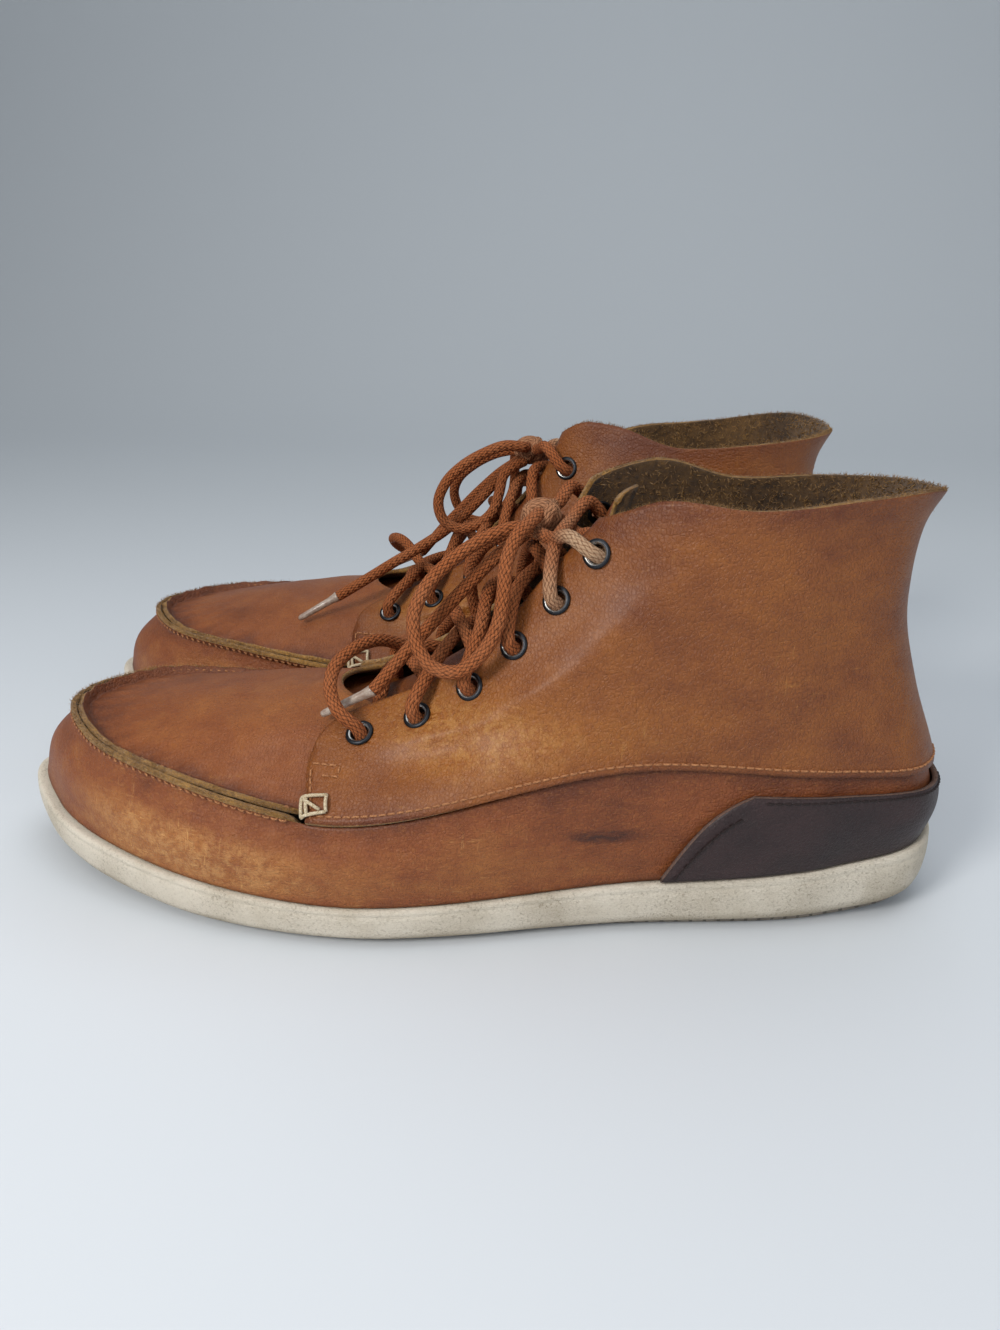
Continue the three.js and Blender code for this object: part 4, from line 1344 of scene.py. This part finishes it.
    def punch(self, made: bpy.types.Object, side: Side) -> None:
        """Cut the six eyelet holes."""
        rod = bmesh.new()
        bmesh.ops.create_cone(rod, cap_ends=True, segments=28, radius1=3.3, radius2=3.3, depth=9)
        mesh = template(rod, "punch")
        bm = bmesh.new()
        for eyelet in EYELETS:
            t = np.array(side.station(eyelet.t))
            at, up = LAST.skin(t, np.array(eyelet.h), 1.4), LAST.normal(t, np.array(eyelet.h))
            stamp(bm, mesh, at, LEAN, up)
        cutter = self.make.piece(f"punch_{side.value}", bm, [self.make.finishes.edge], "upper_leather")
        cut = made.modifiers.new("holes", "BOOLEAN")
        cut.operation = "DIFFERENCE"
        cut.solver = "EXACT"
        cut.object = cutter
        self.make.settle(made)
        bpy.data.objects.remove(cutter)
        bpy.data.meshes.remove(mesh)

    @staticmethod
    def patch_reach(v: Array) -> Array:
        """How far forward the patch comes, from its foot at v = 0 to its top at v = 1."""
        return 2.85 - 0.25 * v - 0.12 * v**7

    def heel_patch(self) -> bpy.types.Object:
        """The dark patch round the foot of the heel."""
        v = np.linspace(0, 1, 19)[:, None]
        reach = self.patch_reach(v)
        t = -reach + 2 * reach * np.linspace(0, 1, 131)
        top = 1.62 - 0.22 * (1 - smooth(np.abs(t), 0, 1.4))
        h = 0.06 + (top - 0.06) * v
        points = LAST.skin(t, h, self.patch_face)
        points = points + LAST.normal(t, h) * (0.2 * ripple(points, 16, 41))[..., None]
        # Painted shade: the tone is lowered along the foot of the patch, against the midsole.
        tone = 0.4 * ripple(points, 20, 44) - 0.25 * smooth(v, 0.1, 0) + points[..., 0] * 0
        f = self.make.finishes
        bm = woven(points, tone=tone)
        return self.leather("heel_patch", bm, f.patch, "patch_leather", 1.7, f.patch_edge)

    def tongue(self) -> bpy.types.Object:
        """The tongue under the lacing, which bends at its foot."""
        h = np.linspace(3.72, COLLAR, 47)[:, None]
        width = 2.32 + 0.26 * smooth(h, 4, COLLAR)
        across = np.linspace(-1, 1, 41)
        t = FRONT + across * width * (1 - 0.05 * smooth(h, 6.3, 7.0) * across**2)
        sink = 2.4 + 6 * smooth(h, 3.85, 4.25)
        away = calm(LAST.normal(t, h))
        points = LAST.to_boot(LAST.point(t, h)) - away * (sink + t * 0)[..., None]
        points = points + away * (0.5 * ripple(points, 17, 51))[..., None]
        # Painted shade: the whole tongue is toned darker, as it lies sunk in the throat under the lacing.
        tone = 0.3 * ripple(points, 20, 52) - 0.45 + points[..., 0] * 0
        made = self.leather("tongue", woven(points, tone=tone), self.make.finishes.quarter, bends=True)
        foot, clear = self.make.hand.world(np.array([[-56.0, 0, 60], [-18.0, 0, 70]]))
        self.make.name("boot")
        self.make.name("tongue")
        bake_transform(made)
        return made

    def sew(
        self, bm: bmesh.types.BMesh, side: Side, across: Array, h: Array, seed: int, lift: float = 0.12
    ) -> None:
        """A row of stitches along a line on a quarter."""
        up = LAST.normal(side.station(across), h)
        Stitching().row(bm, self.on_quarter(side, across, h, lift), up, seed)

    def sew_patch(self, bm: bmesh.types.BMesh, t: Array, h: Array, seed: int) -> None:
        """A row of stitches along a line on the heel patch."""
        Stitching().row(bm, LAST.skin(t, h, self.patch_face + 0.15), LAST.normal(t, h), seed)

    def seams(self) -> None:
        """The machine stitching along the seams, and the hand-stitched squares."""
        thread, dark, cream = bmesh.new(), bmesh.new(), bmesh.new()
        for side in Side:
            across = np.linspace(0.12, 3.97, 420)
            self.sew(thread, side, across, LAST.above_moc(side.station(across), 2.0), 3)
            h = np.linspace(2.4, 6.7, 200)
            self.sew(thread, side, h * 0 + 0.09, h, 8, -0.2)
            v = np.linspace(0.02, 0.93, 60)
            self.sew_patch(dark, side.station(self.patch_reach(v) - 0.055), 0.06 + 1.34 * v, 5)
            t = np.linspace(2.42, 0, 200)
            self.sew_patch(dark, side.station(t), 1.53 - 0.22 * (1 - smooth(t, 0, 1.4)), 6)
            self.front_box(thread, side)
            self.square(cream, side)
        t = np.linspace(4.12, STATIONS - 4.12, 900)
        seam, out, across = LAST.lips(t)
        Stitching().row(thread, seam + out * 1.5 - across * 0.45, -across, 7)
        Stitching().row(thread, seam + out * 1.6 + across * 3.95, across, 9)
        f = self.make.finishes
        self.make.piece("seam_thread", thread, [f.brown_thread], "lace_braid")
        self.make.piece("patch_thread", dark, [f.dark_thread], "lace_braid")
        self.make.piece("hand_stitches", cream, [f.cream_thread], "lace_braid")

    def front_box(self, bm: bmesh.types.BMesh, side: Side) -> None:
        """A small stitched rectangle on the quarter's front corner."""
        corners = [(3.985, 2.04), (3.985, 2.76), (3.895, 2.76), (3.895, 2.6), (3.975, 2.6)]
        for (t0, h0), (t1, h1) in zip(corners, corners[1:]):
            self.sew(bm, side, np.linspace(t0, t1, 20), np.linspace(h0, h1, 20), 11)

    def square(self, bm: bmesh.types.BMesh, side: Side) -> None:
        """The square of heavy thread where the moccasin seam ends."""
        rear, front = 3.935, 4.025
        strokes = [
            [(rear, 3.2, 3.1), (rear - 0.004, 8.0, 3.1)],
            [(front, 0.6, 2.6), (front + 0.006, 6.4, 2.6)],
            [(rear, 3.2, 3.1), (front, 0.6, 2.6)],
            [(rear - 0.004, 8.0, 3.1), (front + 0.006, 6.4, 2.6)],
            [(front - 0.03, 1.6, 3.0), (front - 0.028, 6.8, 3.0)],
            [(front - 0.012, 6.2, 2.9), (rear + 0.02, 3.6, 3.1)],
        ]
        for (ta, da, oa), (tb, db, ob) in strokes:
            f = np.linspace(0, 1, 9)
            t = side.station(ta + (tb - ta) * f)
            rise = np.sin(f * np.pi) * 0.9
            points = LAST.skin(t, LAST.above_moc(t, da + (db - da) * f), oa + (ob - oa) * f + rise + 0.2)
            join(bm, tube(points, 0.55, 8))

    def fibres(self) -> None:
        """Loose fibres along the collar, the throat and the moccasin seam's raw edges."""
        bm = bmesh.new()
        fuzz = Fuzz()
        for k, side in enumerate(Side):
            across = NEAR_HEEL + (float(throat_edge(7)) - NEAR_HEEL) * np.linspace(0.02, 1, 300)
            edge = self.on_quarter(side, across, across * 0 + COLLAR, MID_LEATHER)
            up = edge - self.on_quarter(side, across, across * 0 + 6.9, MID_LEATHER)
            fuzz.grow(bm, edge, up / length_of(up), 900, 60 + k)
            inner, inner_h = np.meshgrid(across, np.linspace(5.5, 6.97, 40))
            face = self.on_quarter(side, inner, inner_h, -LEATHER).reshape(-1, 3)
            inward = -LAST.normal(side.station(inner), inner_h).reshape(-1, 3) * 0.45
            Fuzz(0.17, 1.0, 2.4).grow(bm, face, inward, 2200, 64 + k, 0.7)
            h = np.linspace(3.3, 7, 300)
            edge = self.on_quarter(side, throat_edge(h), h, MID_LEATHER)
            up = edge - self.on_quarter(side, throat_edge(h) - 0.1, h, MID_LEATHER)
            fuzz.grow(bm, edge, up / length_of(up), 300, 70 + k)
        seam, out, across = LAST.lips(np.linspace(4.1, STATIONS - 4.1, 500))
        for k, shift in enumerate((0.4, 1.3, 2.6, 3.6)):
            fuzz.grow(bm, seam + out * 3.1 + across * shift, out, 700, 80 + k)
        self.make.piece("edge_fibres", bm, [self.make.finishes.fibre], "upper_leather")


# ---- Eyelets and laces --------------------------------------------------------------------
@dataclass
class Eyelets:
    """The rolled metal eyelets of one boot."""

    make: Maker
    profile: Sequence[tuple[float, float, float]] = (
        (2.75, -0.9, 0.2), (3.0, -1.2, 0.3), (3.7, -1.25, 0.1), (4.1, -1.0, 0), (4.15, -0.65, 0),
        (3.25, -0.55, 0), (3.2, 1.4, 0), (3.25, 2.45, 0), (4.3, 2.5, 0), (4.42, 2.75, 0.05),
        (4.3, 3.05, 0.1), (3.95, 3.28, 0.15), (3.5, 3.36, 0.3), (3.1, 3.28, 0.8), (2.8, 3.0, 1),
        (2.68, 2.5, 0.9), (2.66, 0.5, 0.3), (2.75, -0.9, 0.2),
    )

    def build(self) -> None:
        """Set both rows of eyelets."""
        ringed = spun(self.profile, 32)
        for side in Side:
            bm = bmesh.new()
            for eyelet in EYELETS:
                t, h = np.array(side.station(eyelet.t)), np.array(eyelet.h)
                stamp(bm, ringed, LAST.skin(t, h), LEAN, LAST.normal(t, h))
            outward(bm)
            stands_for = [f"eyelet_{side.value}_{i + 1}" for i in range(6)]
            faces = [self.make.finishes.metal]
            self.make.piece(f"eyelets_{side.value}", bm, faces, "eyelet_metal", stands_for)
        bpy.data.meshes.remove(ringed)


def laid(points: Sequence[tuple[float, float, float]]) -> Array:
    """Chosen lace points [s, y, z] in the boot's own frame."""
    return LAST.to_boot(np.array(points, float))


@dataclass(frozen=True)
class Bow:
    """One loop and one loose end of a bow, as [s, y, z], and where the end's tip points."""

    loop: tuple[tuple[float, float, float], ...]
    tail: tuple[tuple[float, float, float], ...]
    tip: tuple[float, float, float]


SIDE_BOW = Bow(
    (
        (127.5, -9.5, 122), (131, -16.5, 119.5), (133.5, -23.5, 113.5), (134, -28.5, 105),
        (135.5, -31.5, 96.5), (140.5, -33.5, 88), (147.5, -33.5, 83), (154.5, -32.5, 84),
        (159, -30, 89.5), (160.5, -26.5, 97), (157.5, -21.5, 104.5), (151.5, -16.5, 110.5),
        (144, -12.5, 115.5), (137, -9.5, 118.5), (131.5, -7.5, 119.5),
    ),
    (
        (131.5, -3.2, 115), (137, -5.5, 111), (143, -8.5, 105.5), (150, -12, 98.5), (157, -15, 91),
        (163.5, -18, 84), (169, -19.8, 77.5), (174.5, -21.2, 71),
    ),
    (187.5, -22.5, 64.5),
)
INNER_BOW = Bow(
    (
        (124.5, 9.5, 122), (124.5, 18, 121), (125.5, 26, 117), (127.5, 31.7, 110.5), (130, 35, 102),
        (131.5, 36.8, 93.5), (129.5, 37.8, 85), (122.5, 38.5, 80), (114.5, 38.5, 82.5),
        (111.5, 37.5, 90.5), (113.5, 36.5, 99), (117.5, 34.3, 107), (122, 30.3, 113.2),
        (126, 24, 116.3), (128.5, 17, 117.6), (129.5, 10.8, 118),
    ),
    (
        (131, 4.5, 116), (137, 9.5, 113), (142, 15.5, 109), (146, 21.5, 104), (149, 27, 98),
        (150.5, 31.5, 91), (150.5, 34.8, 83.5), (149, 37, 75.5),
    ),
    (147, 41, 62),
)
OPEN_BOW = Bow(
    (
        (126.5, 9.5, 124), (133, 13, 125), (141, 16.5, 122.5), (149, 19.5, 118), (155.5, 21.5, 111.5),
        (158.5, 22, 103.5), (156.5, 21.5, 96.5), (150.5, 20, 93), (143.5, 17.5, 94.5), (138, 14.5, 99),
        (135.5, 12.5, 106.5), (134, 11.5, 113),
    ),
    (
        (131.5, 3.2, 115), (137, 4.5, 110), (143, 6.5, 103.5), (150, 9.5, 96.5), (158, 13.5, 90),
        (167, 18.5, 84.5), (177, 23, 79), (188, 27, 72.5), (199, 30, 66),
    ),
    (212, 33, 58.5),
)


@dataclass
class Lacing:
    """The lace through twelve eyelets, its knot, and the bow's loops and ends."""

    make: Maker
    bows: dict[Side, Bow]
    lace: float = 4.2
    over: float = 6.1
    under: float = -4
    first_arc: Sequence[tuple[float, float, float]] = (
        (182.5, -32, 67.5), (186.5, -27, 72), (187, -19.5, 77), (183, -11, 80), (177, -2, 80),
        (169.5, 7.5, 75),
    )
    lead: Sequence[tuple[float, float, float]] = ((116.2, 21, 126), (120, 10, 123.5), (124, 3, 121.5))
    low_lead: Sequence[tuple[float, float, float]] = (
        (115.5, -20.5, 120.5), (121.5, -11.5, 117.5), (127, -3.5, 118),
    )
    knot: tuple[float, float, float] = (125, 0, 121)

    @staticmethod
    def spot(side: Side, t: float, h: float, offset: float) -> Array:
        """A lace point over or under the skin."""
        return LAST.skin(np.array(side.station(t), float), np.array(h, float), offset)

    def end(self, start: Side, cross: float, arc: Array | None = None) -> list[Array]:
        """One lace end: out of the first eyelet on `start`, then crossing up to the sixth."""
        points, side = [], start
        for k, here in enumerate(EYELETS):
            points.append(self.spot(side, here.t, here.h, self.over))
            if k == 5:
                break
            onward = EYELETS[k + 1]
            if k == 0 and arc is not None:
                points.extend(arc)
            else:
                level = here.edge + (onward.edge - here.edge) * 0.25
                points.append(self.spot(side, float(throat_edge(level)) + 0.1, level, 5.6))
                points.append(self.spot(side, FRONT, (here.centre + onward.centre) / 2, cross))
            side = Side.MEDIAL if side is Side.LATERAL else Side.LATERAL
            level = here.edge + (onward.edge - here.edge) * 0.85
            points.append(self.spot(side, float(throat_edge(level)) + 0.1, level, -2.5))
            points.append(self.spot(side, onward.t, onward.h, self.under))
        return points

    def threaded(self) -> Array:
        """The whole held stretch, from the knot round the first eyelets and back."""
        first = EYELETS[0]
        bar = [
            self.spot(Side.LATERAL, first.t, first.h, self.under),
            self.spot(Side.LATERAL, float(throat_edge(first.edge)) + 0.2, first.edge, -2.5),
            self.spot(Side.LATERAL, FRONT, first.centre, -3.5),
            self.spot(Side.MEDIAL, float(throat_edge(first.edge)) + 0.2, first.edge, -2.5),
            self.spot(Side.MEDIAL, first.t, first.h, self.under),
        ]
        lead = laid(self.lead)
        lateral = [*self.end(Side.LATERAL, 2.8, laid(self.first_arc)), *lead]
        medial = [*self.end(Side.MEDIAL, -2.2), *laid(self.low_lead)]
        return route([*lateral[::-1], *bar, *medial])

    def worn(self, points: Array) -> Array:
        """How worn the lace is: most between the knot and the top lateral eyelet."""
        fifth, top = (self.spot(Side.LATERAL, hole.t, hole.h, 5) for hole in EYELETS[4:])
        places = ((top, 1, 12), (fifth, 0.45, 7), (laid([self.knot])[0], 0.75, 9))
        wear = sum(most * swell(np.linalg.norm(points - at, axis=-1), 0, width) for at, most, width in places)
        return np.clip(wear, 0, 1)

    def wraps(self) -> list[Array]:
        """The turns of lace that make the knot."""
        a = np.linspace(0, 1, 40)[:, None]
        first = a * 2 * math.pi * 1.35 + 0.4
        one = [4.2 * np.cos(first), -2.6 + 5.2 * a, 3.5 * np.sin(first)]
        second = a * 2 * math.pi * 0.8 + 2.2
        two = [2 * np.sin(second) + 1.6, 4.1 * np.cos(second), 3.3 * np.sin(second) + 0.6]
        third = a * 2 * math.pi * 0.7 - 0.6
        three = [-1.5 - 2.2 * np.sin(third), 4.2 * np.cos(third), 2.9 * np.sin(third) - 0.8]
        return [laid([self.knot])[0] + np.concatenate(turn, 1) for turn in (one, two, three)]

    def held(self) -> None:
        """The stretch that the eyelets hold, with the knot and its loose fibres."""
        bm, fluff = bmesh.new(), bmesh.new()
        fuzz = Fuzz(0.06, 0.6, 2.0)
        for k, points in enumerate([self.threaded(), *self.wraps()]):
            wear = self.worn(points) if k == 0 else np.full(len(points), 0.42)
            join(bm, tube(points, self.lace / 2, wear=wear))
            sore = wear > 0.3
            if sore.any():
                places = np.repeat(points[sore], 6, 0)
                out = np.random.default_rng(k).normal(0, 1, places.shape)
                out /= length_of(out)
                fuzz.grow(fluff, places + out * self.lace * 0.46, out, 170 if k == 0 else 60, 90 + k, 0.5)
        self.make.piece("lace_held", bm, [self.make.finishes.braid], "lace_braid", ["lace"])
        layer = fluff.verts.layers.float.new("wear")
        for vert in fluff.verts:
            vert[layer] = 0.9
        self.make.piece("lace_fibres", fluff, [self.make.finishes.braid], "lace_braid")

    def free(self) -> None:
        """The bow's loops and loose ends, which are free cords from the knot."""
        for side, bow in self.bows.items():
            sign = -1 if side is Side.LATERAL else 1
            loop = route(laid([(125.5, sign * 4, 123), *bow.loop, (126.5, sign * 4.5, 117.5)]))
            self.cord(f"loop_{side.value}", f"bow_loop_{side.value}", loop)
            tail = route(laid([(127.5, sign * 1.5, 118), *bow.tail]))
            aglet = self.aglet(side, laid(bow.tail)[-1], laid([bow.tip])[0])
            self.cord(f"tail_{side.value}", f"bow_end_{side.value}", tail)

    def cord(
        self, part: str, name: str, points: Array
    ) -> None:
        """Make one free cord and log its length."""
        wear = np.clip(0.5 * self.worn(points), 0, 1)
        bm = tube(points, self.lace / 2, wear=wear)
        made = self.make.piece(name, bm, [self.make.finishes.braid], "lace_braid", [part])
        path = self.make.hand.world(points)
        run = float(np.linalg.norm(np.diff(path, axis=0), axis=-1).sum())
        log.info("%s is %.0f mm long", made.name, run * 1000)

    def aglet(self, side: Side, end: Array, tip: Array) -> bpy.types.Object:
        """The film tip on a loose end."""
        profile = (
            (0.0, -0.6, 0), (1.95, -0.6, 0), (1.98, 0.0, 0), (1.75, 1.2, 0), (1.5, 3, 0), (1.35, 9, 0),
            (1.2, 16.6, 0), (1.0, 17.6, 0), (0.6, 18, 0), (0.0, 18, 0),
        )
        rod = spun(profile, 20)
        along = (tip - end) / np.linalg.norm(tip - end)
        bm = bmesh.new()
        stamp(bm, rod, end + along * 0.6, np.array((0.2, 1.0, 0.3)), along)
        bpy.data.meshes.remove(rod)
        outward(bm)
        faces = [self.make.finishes.film]
        part = f"aglet_{side.value}"
        return self.make.piece(f"bow_tip_{side.value}", bm, faces, "aglet_plastic", [part])


# ---- The pair, its stage and its light ----------------------------------------------------
def stage() -> None:
    """The camera, a plain pale floor that sweeps up into a wall, and soft lights."""
    scene = bpy.context.scene
    lens = bpy.data.cameras.new("camera")
    lens.lens = 28.02
    lens.sensor_width = 36
    camera = bpy.data.objects.new("camera", lens)
    camera.location = (0.0525, -0.3625, 0.1972)
    camera.rotation_euler = Euler((math.radians(90 - 22.03), 0, math.radians(6.29)))
    scene.collection.objects.link(camera)
    scene.camera = camera

    bm = bmesh.new()
    bmesh.ops.create_grid(bm, x_segments=2, y_segments=60, size=0.5)
    flat, sweep = 0.75, 0.55
    for vert in bm.verts:
        run = (vert.co.y + 0.5) * 5.2 - 2.2
        bend = min(max(run - flat, 0) / sweep, math.pi / 2)
        up = max(run - flat - sweep * math.pi / 2, 0)
        vert.co = (vert.co.x * 26, min(run, flat) + sweep * math.sin(bend), sweep * (1 - math.cos(bend)) + up)
    paper = Bench("pale_paper")
    # Painted shade: the floor darkens towards the back and up the wall.
    shade = paper.blend(paper.axes()[1].above(-0.15, 0.55), "D6DBE0", "C1C6CA")
    shown("floor", bm, [paper.finish(Base_Color=shade, Roughness=0.85, Specular_IOR_Level=0.2)])

    for name, place, aim, size, power, colour in (
        ("key", (-0.25, -0.55, 1.15), (0, 0, 0.05), 0.6, 2.4, (1.0, 0.985, 0.965)),
        ("window", (-0.42, -0.74, 0.6), (0.03, -0.08, 0.08), 0.24, 5.4, (1.0, 0.97, 0.93)),
        ("top", (0.25, 0.35, 1.4), (0, 0, 0), 1.4, 8.0, (0.94, 0.97, 1.0)),
        ("fill", (0.9, -0.9, 0.6), (0, 0, 0.06), 1.0, 3.5, (0.95, 0.97, 1.0)),
    ):
        lamp = bpy.data.lights.new(name, "AREA")
        lamp.size = size
        lamp.energy = power
        lamp.color = colour
        made = bpy.data.objects.new(name, lamp)
        made.location = place
        made.rotation_euler = (Vector(aim) - Vector(place)).to_track_quat("-Z", "Y").to_euler()
        scene.collection.objects.link(made)
    world = bpy.data.worlds.new("room")
    world.use_nodes = True
    colour, strength = world.node_tree.nodes["Background"].inputs[:2]
    colour.default_value = (0.80, 0.86, 0.93, 1)
    strength.default_value = 0.31
    scene.world = world
    scene.view_settings.view_transform = "Standard"


def hidden_boards(frame: dict, hand: Hand, finishes: Finishes) -> None:
    """Dress the CAD nodes that stay: the insole board and the heel stiffener."""
    for part in ("insole_board", "heel_stiffener"):
        node = frame["nodes"][f"{hand.label}_{part}"]
        for slot in node.material_slots:
            slot.material = finishes.board if part == "insole_board" else finishes.suede


def main() -> None:
    """Build the stage, then each boot from its laces to its sole."""
    logging.basicConfig(level=logging.INFO, format="%(message)s")
    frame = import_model()
    stage()
    finishes = Finishes()
    bows = {
        Hand.LEFT: {Side.LATERAL: SIDE_BOW, Side.MEDIAL: INNER_BOW},
        Hand.RIGHT: {Side.LATERAL: SIDE_BOW, Side.MEDIAL: OPEN_BOW},
    }
    for hand in Hand:
        make = Maker(hand, finishes)
        lacing = Lacing(make, bows[hand])
        lacing.free()
        lacing.held()
        Eyelets(make).build()
        sole = Sole(make)
        sole.outsole()
        sole.midsole()
        sole.footbed()
        upper = Upper(make)
        upper.side_wall()
        upper.apron()
        for side in Side:
            upper.quarter(side)
        upper.heel_patch()
        upper.tongue()
        upper.seams()
        upper.fibres()
        hidden_boards(frame, hand, finishes)


if __name__ == "__main__":
    main()
